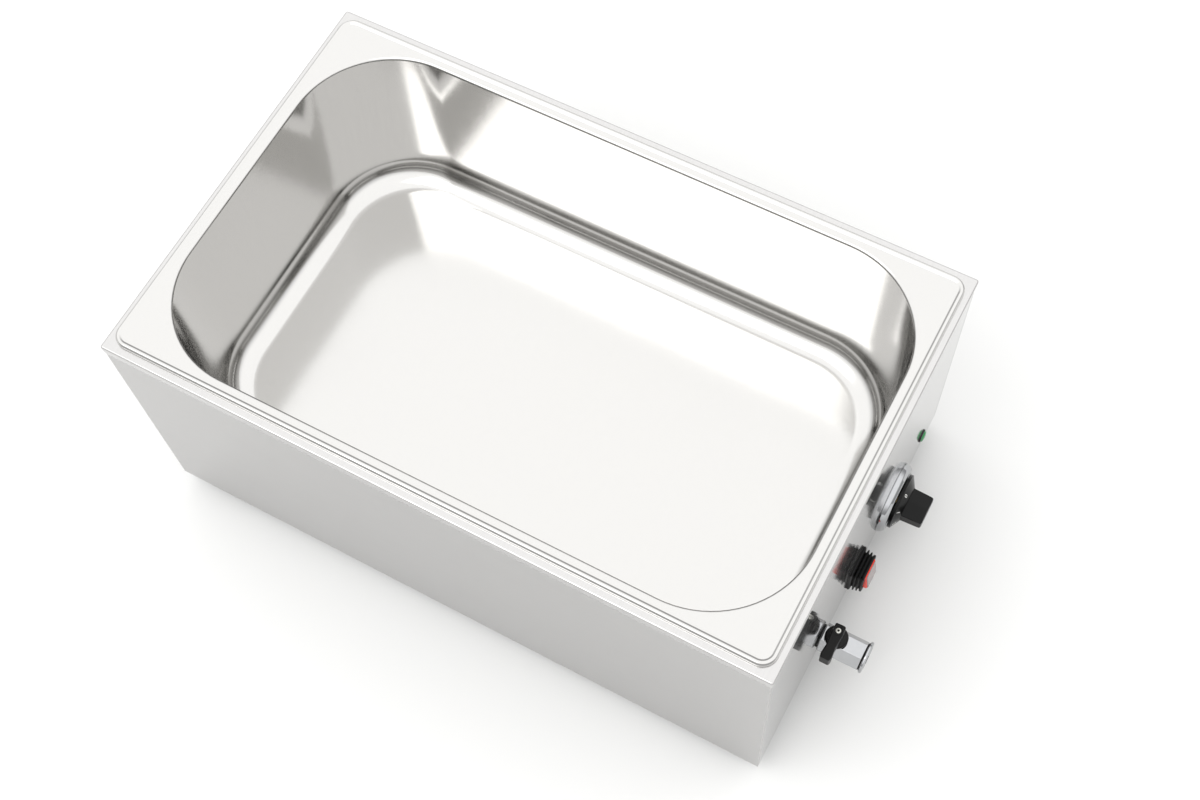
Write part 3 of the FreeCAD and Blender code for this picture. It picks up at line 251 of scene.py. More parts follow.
def close(tree, inputs):
    """The surface shader and the output."""
    surface = add(tree, "ShaderNodeBsdfPrincipled", inputs)
    add(tree, "ShaderNodeOutputMaterial", {"Surface": surface.outputs["BSDF"]})


SMUDGES_PER_M = 11.0    # a hand-sized smudge is about 90 mm across
RIPPLES_PER_M = 7.0     # thin sheet bows over about 140 mm
CLOUDS_PER_M = 90.0     # a moulding's shine drifts over about 11 mm
END_FACE_DEPTH = 0.0006     # metres: how far behind the end panels' faces their finish still holds


def sheet_steel(name, bright, shade, gloss, dull, stretch, grain_mm, depth, ripple, ends=1.0,
                metal=1.0):
    """Stainless sheet: a rolled grain drawn out along one axis, soft smudges, a slow ripple.

    Depth and ripple are bump heights in millimetres. The faces at the front and rear ends have
    their roughness multiplied by ends.
    """
    made, tree, place = start(name)
    drawn = add(tree, "ShaderNodeMapping", {"Vector": place, "Scale": stretch}).outputs["Vector"]
    grain = add(tree, "ShaderNodeTexNoise", {"Vector": drawn, "Scale": 1000 / grain_mm, "Detail": 3.0,
                                             "Roughness": 0.7}).outputs["Fac"]
    smudge = add(tree, "ShaderNodeTexNoise", {"Vector": place, "Scale": SMUDGES_PER_M, "Detail": 4.0,
                                              "Roughness": 0.6}).outputs["Fac"]
    wave = add(tree, "ShaderNodeTexNoise", {"Vector": place, "Scale": RIPPLES_PER_M,
                                            "Detail": 1.0}).outputs["Fac"]
    base = add(tree, "ShaderNodeMix", {"Factor": grain, "A": colour(shade), "B": colour(bright)},
               data_type="RGBA").outputs["Result"]
    spread = add(tree, "ShaderNodeMath", {0: grain, 1: 0.35}, operation="MULTIPLY").outputs["Value"]
    cloud = add(tree, "ShaderNodeMath", {0: smudge, 1: spread}, operation="ADD").outputs["Value"]
    rough = add(tree, "ShaderNodeMapRange", {"Value": cloud, "From Min": 0.45, "From Max": 0.95,
                                             "To Min": gloss, "To Max": dull}).outputs["Result"]
    along = add(tree, "ShaderNodeSeparateXYZ", {"Vector": place}).outputs["Y"]
    reach = add(tree, "ShaderNodeMath", {0: along}, operation="ABSOLUTE").outputs["Value"]
    end = add(tree, "ShaderNodeMath", {0: reach, 1: REAR_WALL * MM - END_FACE_DEPTH},
              operation="GREATER_THAN").outputs["Value"]
    share = add(tree, "ShaderNodeMath", {0: end, 1: ends - 1.0, 2: 1.0},
                operation="MULTIPLY_ADD").outputs["Value"]
    rough = add(tree, "ShaderNodeMath", {0: rough, 1: share}, operation="MULTIPLY").outputs["Value"]
    slow = add(tree, "ShaderNodeBump", {"Height": wave, "Distance": ripple * MM}).outputs["Normal"]
    fine = add(tree, "ShaderNodeBump", {"Height": grain, "Distance": depth * MM, "Strength": 0.35,
                                        "Normal": slow}).outputs["Normal"]
    close(tree, {"Base Color": base, "Metallic": metal, "Roughness": rough, "Normal": fine})
    return made


def smooth_metal(name, bright, shade, gloss, dull, mark_mm=4.0):
    """Plated or turned metal: a clean shine with faint wiping marks."""
    made, tree, place = start(name)
    marks = add(tree, "ShaderNodeTexNoise", {"Vector": place, "Scale": 1000 / mark_mm, "Detail": 5.0,
                                             "Roughness": 0.65}).outputs["Fac"]
    base = add(tree, "ShaderNodeMix", {"Factor": marks, "A": colour(shade), "B": colour(bright)},
               data_type="RGBA").outputs["Result"]
    rough = add(tree, "ShaderNodeMapRange", {"Value": marks, "From Min": 0.35, "From Max": 0.7,
                                             "To Min": gloss, "To Max": dull}).outputs["Result"]
    close(tree, {"Base Color": base, "Metallic": 1.0, "Roughness": rough})
    return made


def moulded(name, bright, shade, gloss, dull, spark_mm=0.9, depth=0.03, coat=0.0, shine=0.5):
    """Moulded plastic or rubber: a spark-eroded skin with slight variation in shine."""
    made, tree, place = start(name)
    spark = add(tree, "ShaderNodeTexNoise", {"Vector": place, "Scale": 1000 / spark_mm, "Detail": 2.0}
                ).outputs["Fac"]
    cloud = add(tree, "ShaderNodeTexNoise", {"Vector": place, "Scale": CLOUDS_PER_M,
                                             "Detail": 3.0}).outputs["Fac"]
    base = add(tree, "ShaderNodeMix", {"Factor": cloud, "A": colour(shade), "B": colour(bright)},
               data_type="RGBA").outputs["Result"]
    rough = add(tree, "ShaderNodeMapRange", {"Value": cloud, "From Min": 0.35, "From Max": 0.7,
                                             "To Min": gloss, "To Max": dull}).outputs["Result"]
    skin = add(tree, "ShaderNodeBump", {"Height": spark, "Distance": depth * MM, "Strength": 0.5}
               ).outputs["Normal"]
    close(tree, {"Base Color": base, "Roughness": rough, "Normal": skin, "Specular IOR Level": shine,
                 "Coat Weight": coat, "Coat Roughness": 0.06})
    return made


# Austenitic stainless sheet with a light brushed grain along the wall: soft, even and pale. The real
# grain is about 0.1 mm wide; it is drawn at 2.5 mm, as fine as it can show. The end panels are shinier.
casing_steel = sheet_steel("brushed_casing_stainless", "#B7B6B5", "#B2B1B0", 0.285, 0.31,
                           (1.0, 0.03, 1.0), 2.5, 0.0012, 0.06, ends=0.24, metal=0.88)
# The rim is cross-brushed, so short grain lines show across its narrow faces; drawn coarser too.
rim_steel = sheet_steel("cross_brushed_rim_stainless", "#C6C5C4", "#BBBAB9", 0.16, 0.25,
                        (0.06, 1.0, 1.0), 1.4, 0.004, 0.05)
# Deep-drawn pan: bright, with long shallow draw marks down the walls.
pan_steel = sheet_steel("deep_drawn_pan_stainless", "#C9C8C6", "#C4C3C1", 0.10, 0.17,
                        (1.0, 1.0, 0.05), 2.0, 0.0015, 0.10)
# Hot-dip galvanised sheet: dull grey with a 6 mm spangle.
plate_steel = sheet_steel("galvanised_base_sheet", "#B9BBBB", "#9DA0A1", 0.32, 0.48,
                          (1.0, 1.0, 1.0), 6.0, 0.01, 0.1)
# Nickel-chrome plate on a pressing or a brass turning: mirror bright, slightly cool.
chrome = smooth_metal("nickel_chrome_plate", "#B2B3B5", "#A9AAAC", 0.045, 0.09)
# Zinc-plated fixings: pale, with the soft shine of a barrel-plated screw.
zinc = smooth_metal("bright_zinc_plate", "#C9C9C2", "#AFAFA9", 0.22, 0.34, 1.5)
# Heater sheath: heat-blued steel, brown in bands and dull.
oxide_steel = smooth_metal("heat_blued_heater_sheath", "#7A6E62", "#51504F", 0.38, 0.5, 12.0)
# Drawn copper tube: warm, with a satin die mark.
copper = smooth_metal("drawn_copper", "#D08A62", "#B46E49", 0.24, 0.36, 5.0)
# Turned brass: yellow, with fine tool marks.
brass = smooth_metal("machined_brass", "#CDB072", "#B5975A", 0.22, 0.34, 3.0)
# Phenolic knob and nylon lever: near black with a fine sparked skin that catches soft light.
knob_black = moulded("black_phenolic_moulding", "#101010", "#080808", 0.17, 0.26, 0.9, 0.015,
                     shine=0.17)
lever_black = moulded("black_glass_filled_nylon", "#121212", "#0A0A0A", 0.28, 0.38, 0.8, 0.03,
                      shine=0.18)
# Neoprene boot: black, a soft sheen along its ribs.
boot_rubber = moulded("black_neoprene_boot", "#101010", "#090909", 0.34, 0.48, 0.8, 0.03, shine=0.2)
# Nitrile foot and seals: matt, slightly grey where they are dusty.
foot_rubber = moulded("black_nitrile_foot", "#1C1C1C", "#111111", 0.6, 0.78, 0.8, 0.08)
seal_rubber = moulded("black_nitrile_seal", "#141414", "#0C0C0C", 0.5, 0.6, 0.8, 0.03)
# Nylon cases and the polyamide gland: off-black with an even satin skin.
case_black = moulded("black_nylon_case", "#202020", "#161616", 0.42, 0.55)
gland_black = moulded("black_polyamide_gland", "#1E1E1E", "#141414", 0.4, 0.52)
# Thermoset and PTFE: cream and white, smooth and faintly waxy.
cream = moulded("cream_thermoset", "#D9D2BA", "#C8C0A6", 0.38, 0.5)
seal_white = moulded("white_ptfe", "#E9E9E5", "#DCDCD7", 0.3, 0.4)
# Rocker and its window: dyed polycarbonate with a polished skin.
rocker_red = moulded("red_dyed_polycarbonate", "#F03A1E", "#E02A12", 0.16, 0.24, 2.0, 0.005,
                     coat=0.1, shine=0.3)
window_clear = moulded("smoked_polycarbonate_window", "#8E7F7E", "#7A6B6A", 0.1, 0.2, 2.0, 0.003,
                       coat=0.3, shine=0.4)
# Lamp lens: deep green polycarbonate, glossy as glass.
lens_green = moulded("green_dyed_polycarbonate", "#0E8A45", "#04602C", 0.08, 0.14, 3.0, 0.003,
                     coat=0.8)
# Printed marks: flat white ink.
mark_white = moulded("white_printing_ink", "#F0F0EC", "#E4E4E0", 0.45, 0.55)


# ---------------------------------------------------------------- pan

def pan_shell():
    """Deep-drawn pan as one closed skin, from the inner floor over the flange to the outer floor.

    Its walls lean in by the draft: the floor's outline is the mouth's, moved in by height x tan(draft).
    """
    mouth_x, mouth_y, mouth_corner = 151.5, 254.0, 78.0
    draft = math.tan(math.radians(3))
    floor_round, wall = 20.0, SHEET
    plane = PAN_HIGH[2] - 0.3
    bottom = PAN_LOW[2]
    lean = (plane - bottom) * draft
    inner = line([(lean + 90, bottom + wall, 0), (lean, bottom + wall, floor_round),
                  (0, plane, 2.6), (-4.5, plane, 0)], 8)
    outer = line([(-3.5, plane - wall, 0), (-wall, plane - wall, 1.6),
                  (lean - wall, bottom, floor_round + wall), (lean + 90, bottom, 0)], 8)
    edge = line([(5.6, plane, 0), (4.5, plane, 1.2), (2.9, plane + 1.1, 0.9), (1.3, plane + 1.15, 1.6),
                 (0.0, plane - 0.5, 0.9), (0, DECK + 0.4, 0.15), (0.9, DECK + 0.4, 0.15),
                 (1.0, plane - wall, 0.4), (3.2, plane - wall, 0)], 5)

    def mouth_rows(profile):
        inset = profile[:, 0]
        return rings(mouth_x - inset, mouth_y - inset, mouth_corner - inset * 0.75, profile[:, 1], 20, 14)

    flange_x, flange_y, flange_corner = PAN_HIGH[0], PAN_HIGH[1], 12.0
    lip = rings(flange_x - edge[:, 0], flange_y - edge[:, 0], flange_corner - edge[:, 0], edge[:, 1], 20, 14)
    rows = np.concatenate([mouth_rows(inner), lip, mouth_rows(outer)])
    piece("pan_shell", [shell(rows)], "pan", pan_steel, ["gn_pan"], 40)


# ---------------------------------------------------------------- rim, well and casing

def rim_and_well():
    """Rolled rim, deck and deep well as one closed skin."""
    well_x, well_y, well_corner = 154.5, 257.0, 60.0
    floor, floor_round = RIM_LOW[2] + SHEET, 14.0
    inner = line([(90, floor, 0), (0, floor, floor_round), (0, DECK, 1.0), (-3, DECK, 0)], 8)
    outer = line([(-4, DECK - SHEET, 0), (-SHEET, DECK - SHEET, 0.5),
                  (-SHEET, floor - SHEET, floor_round + SHEET), (90, floor - SHEET, 0)], 8)
    low = DECK - 12
    edge = line([(7, DECK, 0), (0, DECK, 1.5), (0, DECK - 2.5, 5.0), (0.18, DECK - 6, 6.0),
                 (0.55, DECK - 9.3, 3.0), (0.97, low + 0.6, 0.2), (0.97, low, 0.02), (SHEET, low, 0.02),
                 (SHEET, DECK - SHEET, 0.6), (7, DECK - SHEET, 0)], 6)

    def well_rows(profile):
        inset = profile[:, 0]
        return rings(well_x - inset, well_y - inset, np.maximum(well_corner - inset * 0.6, 3), profile[:, 1])

    rim_corner = 1.8
    rim = rings(RIM_HIGH[0] - edge[:, 0], RIM_HIGH[1] - edge[:, 0],
                np.maximum(rim_corner - edge[:, 0], 0.4), edge[:, 1])
    rows = np.concatenate([well_rows(inner), rim, well_rows(outer)])
    piece("rim_and_well", [shell(rows)], "housing", rim_steel, ["basin"], 40)


def seamed(half_x, half_y, depth):
    """A rectangle with a narrow upright seam beside each corner, where the end panels meet the side walls."""
    near, far, back = half_x - 0.7, half_x - 1.5, half_y - depth
    side = [(half_x, -half_y), (half_x, half_y), (near, half_y), (near, back), (far, back), (far, half_y)]
    other = [(-x, y) for x, y in side[::-1][:4]]
    corner = [(-half_x, half_y), (-half_x, -half_y)]
    front = [(-x, -y) for x, y in side[2:]] + [(x, -y) for x, y in side[2:][::-1]]
    return side + other + corner + front


def casing_sleeve():
    """Folded sleeve: end panels seamed to the side walls, and a flange turned in at the bottom."""
    top, bottom, flange = CASE_HIGH[2], CASE_LOW[2], 14.0
    half_way, seam_depth, least_depth = (top + bottom) / 2, 0.85, 0.05
    profile = line([(0, half_way, 0), (0, top, 0.3), (SHEET, top, 0.3), (SHEET, bottom + SHEET, 0.6),
                    (flange, bottom + SHEET, 0.3), (flange, bottom, 0.3), (0, bottom, 1.4),
                    (0, half_way - 1, 0)], 5)
    rows = []
    for inset, height in profile:
        corners = seamed(CASE_HIGH[0] - inset, CASE_HIGH[1] - inset, max(seam_depth - inset, least_depth))
        outline = loop(corners, 0.3, 0.0, 3)
        rows.append(np.c_[outline, np.full(len(outline), height)])
    piece("casing_sleeve", [shell(np.array(rows), ring=True)], "housing", casing_steel, ["outer_casing"],
          40)


# ---------------------------------------------------------------- thermostat knob

def on_panel(node):
    """The point on the panel's face in front of a node's middle."""
    middle = middle_of(node)
    return (middle[0], PANEL, middle[2])


def knob_bezel():
    """Pressed dish: a soft raised rim round a sunk middle."""
    edge = corners_of("knob_bezel")[1][0] - middle_of("knob_bezel")[0]
    rise = PANEL - corners_of("knob_bezel")[0][1]
    hole = 5.0
    profile = line([(hole, 0.05, 0), (edge, 0.05, 0.2), (edge, 1.0, 0.5), (edge - 0.9, rise - 2.4, 2.2),
                    (edge - 3.2, rise, 2.2), (edge - 5.4, rise, 0.8), (edge - 6.6, rise - 1.4, 0.8),
                    (edge - 9.6, 1.0, 1.4), (hole, 1.0, 0)], 7)
    dish = shell(turned(profile, 96), ring=True, origin=on_panel("knob_bezel"), facing="front")
    piece("bezel_dish", [dish], "housing", chrome, ["knob_bezel"])


KNOB_FOOT = PANEL - corners_of("control_knob")[1][1]
KNOB_TOP = KNOB_FOOT + 2.8
CONE_TOP = KNOB_TOP + 4.6
CONE_FOOT_RADIUS, CONE_TOP_RADIUS = 22.4, 14.6


def knob():
    """Knob: flat skirt, cone for the scale, and a grip bar with a ridge down each side."""
    radius = corners_of("control_knob")[1][0] - middle_of("control_knob")[0]
    end = PANEL - corners_of("control_knob")[0][1]
    skirt = line([(3.1, KNOB_FOOT, 0), (radius, KNOB_FOOT, 0.5), (radius, KNOB_TOP, 0.6),
                  (radius - 0.8, KNOB_TOP + 0.1, 0.2), (CONE_TOP_RADIUS, CONE_TOP, 1.0),
                  (12, CONE_TOP, 0)], 5)
    wide, thick, edge = 13.3, 7.6, 5.2
    grip = [(-wide, -edge), (0, -thick), (wide, -edge), (wide, edge), (0, thick), (-wide, edge)]
    levels = [(-0.3, CONE_TOP - 1.5), (0, CONE_TOP + 1.2), (0.5, end - 3.2), (0.75, end - 1.1),
              (1.3, end - 0.35), (2.2, end)]
    place = on_panel("control_knob")
    piece("knob_moulding", [shell(turned(skirt, 96), origin=place, facing="front"),
                            shell(stack(grip, 1.1, levels), origin=place, facing="front")],
          "knob", knob_black, ["control_knob"])


def knob_marks():
    """White scale on the cone: the numbers 0 to 6, an eighth of a turn apart, leaned to its slope."""
    place = Vector(on_panel("control_knob")) * MM
    middle_radius, ink_gap, size, thick = 19.0, 0.06, 5.4, 0.05
    first, apart, count = 96, 45, 7
    slope = math.atan2(CONE_TOP - KNOB_TOP, CONE_FOOT_RADIUS - CONE_TOP_RADIUS)
    height = KNOB_TOP + (CONE_FOOT_RADIUS - middle_radius) * math.tan(slope) + ink_gap
    facing = Matrix([[1, 0, 0, 0], [0, 0, -1, 0], [0, 1, 0, 0], [0, 0, 0, 1]])
    made = []
    for number in range(count):
        curve = bpy.data.curves.new(f"scale_{number}", "FONT")
        curve.body = str(number)
        curve.size = size * MM
        curve.extrude = thick * MM
        curve.align_x = "CENTER"
        curve.align_y = "CENTER"
        turn = math.radians(first + apart * number)
        tilt = Matrix.Rotation(turn - math.pi / 2, 4, "Z") @ Matrix.Translation(
            (0, middle_radius * MM, height * MM)) @ Matrix.Rotation(-slope, 4, "X")
        text = bpy.data.objects.new(f"scale_{number}", curve)
        bpy.context.scene.collection.objects.link(text)
        bpy.context.view_layer.update()
        mesh = bpy.data.meshes.new_from_object(text)
        bpy.data.objects.remove(text)
        mesh.transform(Matrix.Translation(place) @ facing @ tilt)
        mesh.name = f"scale_{number}"
        mesh.materials.clear()
        mesh.materials.append(mark_white)
        made.append(bpy.data.objects.new(f"knob_number_{number}", mesh))
    for mark in made:
        bpy.context.scene.collection.objects.link(mark)
        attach(mark, "knob")


# ---------------------------------------------------------------- lamp and switch

def pilot_lamp():
    """Green dome in a thin dark collar."""
    place = on_panel("lamp_lens")
    radius = corners_of("lamp_lens")[1][0] - middle_of("lamp_lens")[0]
    dome = line([(0, 0.1, 0), (radius - 0.6, 0.1, 0.1), (radius - 0.6, 1.2, 0.5), (radius - 1.7, 2.5, 1.8),
                 (2.0, 3.0, 2.5), (0, 3.05, 0)], 6)
    collar = line([(radius - 0.9, 0, 0), (radius, 0, 0.1), (radius, 0.9, 0.3), (radius - 0.55, 1.1, 0.15),
                   (radius - 0.9, 0.8, 0)], 4)
    piece("lamp_dome", [shell(turned(dome), origin=place, facing="front")], "housing", lens_green,
          ["lamp_lens"])
    piece("lamp_collar", [shell(turned(collar), ring=True, origin=place, facing="front")], "housing",
          case_black, ())


def switch_boot():
    """Rubber boot: a wide lip, then ribs and valleys that step in towards the rocker."""
    low, high = corners_of("switch_boot")
    half_x, half_z = (high[0] - low[0]) / 2, (high[2] - low[2]) / 2
    rise = (high[1] - low[1]) * 0.9
    step = rise / 11.4
    profile = line([(0.3, 0.05, 0), (-0.1, 1.5 * step, 0.6), (0.6, 2.3 * step, 0.5), (3.3, 2.9 * step, 0.5),
                    (3.3, 3.5 * step, 0.4), (1.0, 4.2 * step, 0.5), (1.0, 5.1 * step, 0.5),
                    (3.5, 5.7 * step, 0.4), (3.5, 6.3 * step, 0.4), (1.6, 7.0 * step, 0.5),
                    (1.6, 7.9 * step, 0.5), (3.6, 8.5 * step, 0.4), (3.6, 9.0 * step, 0.4),
                    (2.2, 9.7 * step, 0.5), (2.4, rise - 0.1, 0.5), (3.1, rise, 0)], 4)
    outside = np.array([rings([half_x - inset * 0.9], [half_z - inset * 1.15], [3.4], [height], 6, 2)[0]
                        for inset, height in profile])
    mouth_x, mouth_z = 9.3, 13.9
    inside = rings([mouth_x, mouth_x], [mouth_z, mouth_z], [0.8, 0.8], [rise - 0.1, 0.05], 6, 2)
    bellows = shell(np.concatenate([outside, inside]), ring=True, origin=on_panel("switch_boot"),
                    facing="front")
    piece("boot_bellows", [bellows], "housing", boot_rubber, ["switch_boot"], 45)


ROCKER_TILT = math.radians(7.4)
ROCKER_FACE = 16.7


def rocker():
    """Red rocker with rounded shoulders and its clear window, tilted with its top pressed in."""
    pivot = np.array([middle_of("switch_boot")[0], PANEL + 3.0, middle_of("switch_boot")[2]])
    half_x, half_z = 8.95, 11.6
    face = ROCKER_FACE
    lean = np.array([[1, 0, 0], [0, math.sin(ROCKER_TILT), math.cos(ROCKER_TILT)],
                     [0, -math.cos(ROCKER_TILT), math.sin(ROCKER_TILT)]])
    levels = [(5.0, -3.0), (0, face * 0.55), (0, face - 1.6), (0.25, face - 0.6), (0.9, face)]
    body, faces = shell(stack(block(half_x, half_z), 1.2, levels))
    piece("rocker_moulding", [(body @ lean + pivot, faces)], "rocker", rocker_red, ["rocker"])
    levels = [(0, face + 0.02), (0.0, face + 0.35), (0.4, face + 0.55), (2.0, face + 0.6)]
    window, faces = shell(stack(block(half_x - 1.0, half_z - 1.0), 1.3, levels))
    piece("rocker_clear_face", [(window @ lean + pivot, faces)], "rocker", window_clear, ["rocker_window"])


# ---------------------------------------------------------------- drain tap

def tap():
    """Hexagon body with chamfered ends, its dark seal and the bored outlet ring."""
    low, high = corners_of("valve_body")
    place = (middle_of("valve_body")[0], PANEL, middle_of("valve_body")[2])
    flats, near, far = high[2] - low[2], PANEL - high[1], PANEL - low[1]
    levels = [(0.9, near), (0.1, near + 0.8), (0, near + 1.2), (0, far - 1.0), (0.1, far - 0.6), (0.8, far)]
    piece("tap_body", [shell(stack(hexagon(flats), 0.6, levels, 4), origin=place, facing="front")], "housing",
          chrome, ["valve_body"])
    ring_far = PANEL - corners_of("outlet_ring")[0][1]
    radius, bore, flange = 13.15, 5.5, far + 0.7
    profile = line([(bore, flange - 16, 0), (9.6, flange - 16, 0.2), (9.6, flange, 0.2),
                    (radius - 0.5, flange, 0.3), (radius, flange + 0.6, 0.4), (radius, ring_far - 0.7, 0.5),
                    (radius - 1.0, ring_far, 0.5), (radius - 3.4, ring_far, 0.5),
                    (radius - 4.2, ring_far - 0.9, 0.5), (bore + 0.8, ring_far - 0.9, 0.4),
                    (bore, ring_far - 1.6, 0.4), (bore, flange - 15, 0)], 4)
    piece("outlet_ring_turned", [shell(turned(profile, 72), ring=True, origin=place, facing="front")],
          "housing", chrome, ["outlet_ring"])
    seal = line([(8.6, far, 0), (11.3, far, 0.1), (11.6, far + 0.35, 0.3), (11.3, far + 0.7, 0.1),
                 (8.6, far + 0.7, 0)], 4)
    piece("outlet_seal_ring", [shell(turned(seal), ring=True, origin=place, facing="front")], "housing",
          seal_rubber, ["outlet_seal"])
    gasket = line([(8.2, 0, 0), (9.6, 0, 0.2), (9.8, 0.5, 0.3), (9.6, 1.0, 0.2), (8.2, 1.0, 0)], 4)
    piece("tap_gasket_ring", [shell(turned(gasket), ring=True, origin=place, facing="front")], "housing",
          seal_rubber, ["tap_gasket"])


def lever():
    """Lever: a round skirt, a waist and a long bar with a raised ring round its screw."""
    low, high = corners_of("lever_handle")
    axis = middle_of("valve_stem")
    disc_radius = (high[1] - low[1]) / 2
    place = (axis[0], axis[1], 0)
    base, top = low[2], high[2]
    disc = line([(3.1, base, 0), (disc_radius, base, 0.3), (disc_radius, base + 1.6, 0.5),
                 (disc_radius - 1.2, base + 2.8, 0.8), (4.2, base + 3.6, 1.0), (4.2, base + 6.5, 0)], 5)
    tip, heel, hub, waist, end = low[0] - axis[0], 5.7, 4.7, 3.8, 4.6
    bar = [(heel, -hub + 0.5), (heel, hub - 0.5), (-2, hub), (tip * 0.55, waist), (tip + 3, end),
           (tip, end - 0.7), (tip, 0.7 - end), (tip + 3, -end), (tip * 0.55, -waist), (-2, -hub)]
    levels = [(0.6, base + 5), (0, base + 5.6), (0, top - 1.3), (0.35, top - 0.5), (1.1, top)]
    ridge = line([(3.3, top - 2.4, 0), (3.3, top + 0.35, 0.2), (4.0, top + 0.45, 0.2),
                  (4.25, top - 0.6, 0)], 4)
    bar_shell = shell(stack(bar, 1.4, levels), origin=place)
    ridge_shell = shell(turned(ridge, 40), ring=True, origin=place)
    piece("lever_bar", [shell(turned(disc), origin=place), bar_shell, ridge_shell], "drain_lever",
          lever_black, ["lever_handle"])
    head = line([(0, top - 1.0, 0), (2.3, top - 1.0, 0.1), (2.3, top + 0.1, 0.5), (1.4, top + 0.45, 0.5),
                 (1.0, top + 0.45, 0.1), (0.7, top - 0.2, 0.1), (0, top - 0.2, 0)], 4)
    piece("lever_screw_head", [shell(turned(head, 32), origin=place)], "drain_lever", zinc, ["lever_screw"])


# ---------------------------------------------------------------- feet and gland

def feet():
    """Rubber feet with a soft lower edge and a screw recess."""
    for node in ("foot_front_left", "foot_front_right", "foot_rear_left", "foot_rear_right"):
        low, high = corners_of(node)
        middle, radius, tall = (low + high) / 2, (high[0] - low[0]) / 2, high[2]
        profile = line([(6, 8, 0), (6, 0.3, 0.5), (7.2, 0, 0.6), (radius - 2.4, 0, 1.6), (radius, 2.6, 2.0),
                        (radius - 1.9, tall, 0.6), (2.7, tall, 0.1), (2.7, 8, 0)], 5)
        piece(f"rubber_{node}", [shell(turned(profile, 48), ring=True, origin=(middle[0], middle[1], 0))],
              "housing", foot_rubber, [node])


def gland_cap():
    """Domed gland cap with grip flutes: its radius swells and sinks round the barrel."""
    place = (middle_of("gland_cap")[0], REAR_WALL, middle_of("gland_cap")[2])
    out, end = 10.4, corners_of("gland_cap")[1][1] - REAR_WALL
    profile = line([(7.6, 5.3, 0), (out, 5.3, 0.4), (out, end - 5, 2.0), (out - 3.6, end - 0.6, 1.2),
                    (5.4, end, 0.6), (4.1, end, 0.3), (4.1, 11.3, 0.2), (7.6, 11.3, 0.2), (7.6, 6, 0)], 5)
    steps, flutes, flute_depth, fade = 96, 16, 0.035, 1.5
    barrel = turned(profile, steps)
    angle = np.linspace(0, 2 * np.pi, steps, endpoint=False)
    grip = np.clip((profile[:, 0] - out + fade) / fade, 0, 1)[:, None, None]
    barrel[..., :2] *= 1 - flute_depth * grip * (0.5 + 0.5 * np.cos(flutes * angle))[None, :, None]
    piece("gland_dome", [shell(barrel, ring=True, origin=place, facing="rear")], "housing", gland_black,
          ["gland_cap"])


CAD_FINISH = {
    plate_steel: ["base_plate", "heat_shield"],
    zinc: ["base_screws", "foot_screws", "foot_nuts", "clamp_bar_front", "clamp_bar_rear", "clamp_studs",
           "clamp_nuts", "shield_nuts", "bulb_clip", "cutout_clip", "thermostat_screws", "lamp_push_nut"],
    oxide_steel: ["heating_element", "heater_terminals"],
    copper: ["thermostat_bulb", "capillary_tube"],
    brass: ["knob_spindle", "switch_blades", "drain_pipe", "panel_nut", "valve_stem", "earth_stud",
            "earth_nut"],
    chrome: ["packing_nut", "valve_ball"],
    cream: ["safety_cutout", "thermostat_body", "terminal_block"],
    case_black: ["lamp_body", "switch_housing"],
    seal_white: ["valve_seats"],
    gland_black: ["cable_gland", "gland_locknut"],
}


def finish_cad_nodes():
    """Gives the CAD nodes that stay in view their real finish."""
    for material, names in CAD_FINISH.items():
        for name in names:
            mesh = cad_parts[name].data
            mesh.materials.clear()
            mesh.materials.append(material)


# ---------------------------------------------------------------- studio

def floor():
    """A large pale floor."""
    half = 6.0
    mesh = bpy.data.meshes.new("studio_floor")
    corners = [(-half, -half, 0), (half, -half, 0), (half, half, 0), (-half, half, 0)]
    mesh.from_pydata(corners, [], [(0, 1, 2, 3)])
    made, tree, place = start("matt_white_floor")
    cloud = add(tree, "ShaderNodeTexNoise", {"Vector": place, "Scale": 1.5, "Detail": 2.0}).outputs["Fac"]
    base = add(tree, "ShaderNodeMix", {"Factor": cloud, "A": colour("#DADAD9"), "B": colour("#DDDDDC")},
               data_type="RGBA").outputs["Result"]
    close(tree, {"Base Color": base, "Roughness": 0.9})
    mesh.materials.append(made)
    ground = bpy.data.objects.new("studio_floor", mesh)
    bpy.context.scene.collection.objects.link(ground)


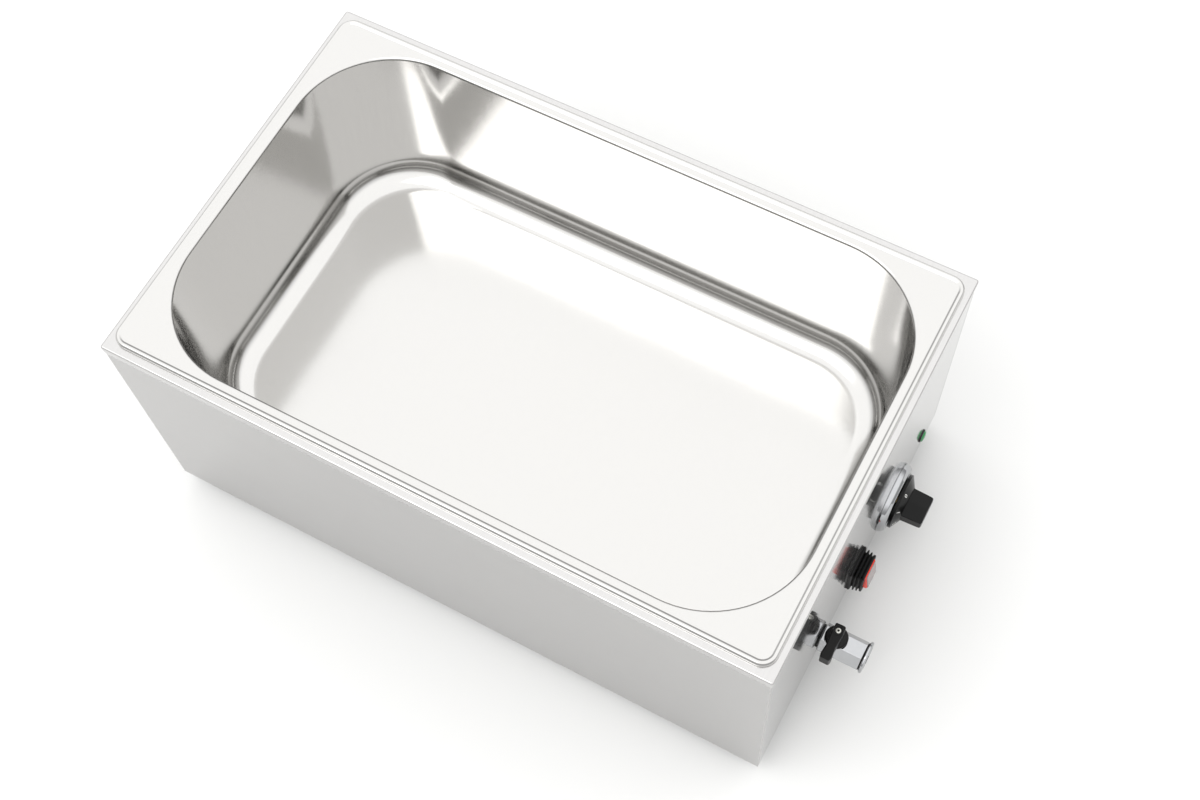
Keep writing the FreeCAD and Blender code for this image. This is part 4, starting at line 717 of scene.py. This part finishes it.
def sky():
    """Soft light from all round: bright overhead, dimmer low down, and white where it is seen direct."""
    world = bpy.data.worlds.new("studio")
    bpy.context.scene.world = world
    world.use_nodes = True
    tree = world.node_tree
    tree.nodes.clear()
    direction = add(tree, "ShaderNodeTexCoord").outputs["Generated"]
    height = add(tree, "ShaderNodeSeparateXYZ", {"Vector": direction}).outputs["Z"]
    level = add(tree, "ShaderNodeMapRange", {"Value": height, "From Min": 0.12, "From Max": 0.62,
                                             "To Min": 0.55, "To Max": 1.65},
                interpolation_type="SMOOTHSTEP").outputs["Result"]
    seen = add(tree, "ShaderNodeLightPath").outputs["Is Camera Ray"]
    shown = add(tree, "ShaderNodeMix", {"Factor": seen, "A": level, "B": 1.0},
                data_type="FLOAT").outputs["Result"]
    glow = add(tree, "ShaderNodeBackground", {"Color": colour("#FFFFFF"), "Strength": shown})
    add(tree, "ShaderNodeOutputWorld", {"Surface": glow.outputs["Background"]})


def soft_box(name, place, target, width, height, power):
    """One rectangular soft light."""
    data = bpy.data.lights.new(name, "AREA")
    data.shape, data.size, data.size_y, data.energy = "RECTANGLE", width, height, power
    lamp = bpy.data.objects.new(name, data)
    lamp.location = place
    lamp.rotation_euler = (Vector(target) - Vector(place)).to_track_quat("-Z", "Y").to_euler()
    bpy.context.scene.collection.objects.link(lamp)


def camera():
    """The camera over the front left corner, rolled a little."""
    place, target = Vector((-0.4692, -0.3579, 1.3244)), Vector((-0.0403, -0.0727, 0.2470))
    data = bpy.data.cameras.new("view")
    data.sensor_width, data.lens = 36, 51.0
    roll_degrees = -5.726
    made = bpy.data.objects.new("view", data)
    roll = Matrix.Rotation(math.radians(roll_degrees), 4, "Z")
    aim = (target - place).to_track_quat("-Z", "Y").to_matrix().to_4x4()
    made.matrix_world = Matrix.Translation(place) @ aim @ roll
    bpy.context.scene.collection.objects.link(made)
    bpy.context.scene.camera = made


def studio():
    """Floor, light and camera, with colours shown as they are."""
    floor()
    sky()
    soft_box("key_light", (-1.2, 0.6, 2.4), (0, 0, 0.1), 1.6, 1.6, 18)
    camera()
    bpy.context.scene.view_settings.view_transform = "Standard"


pan_shell()
rim_and_well()
casing_sleeve()
knob_bezel()
knob()
knob_marks()
pilot_lamp()
switch_boot()
rocker()
tap()
lever()
feet()
gland_cap()
finish_cad_nodes()
studio()
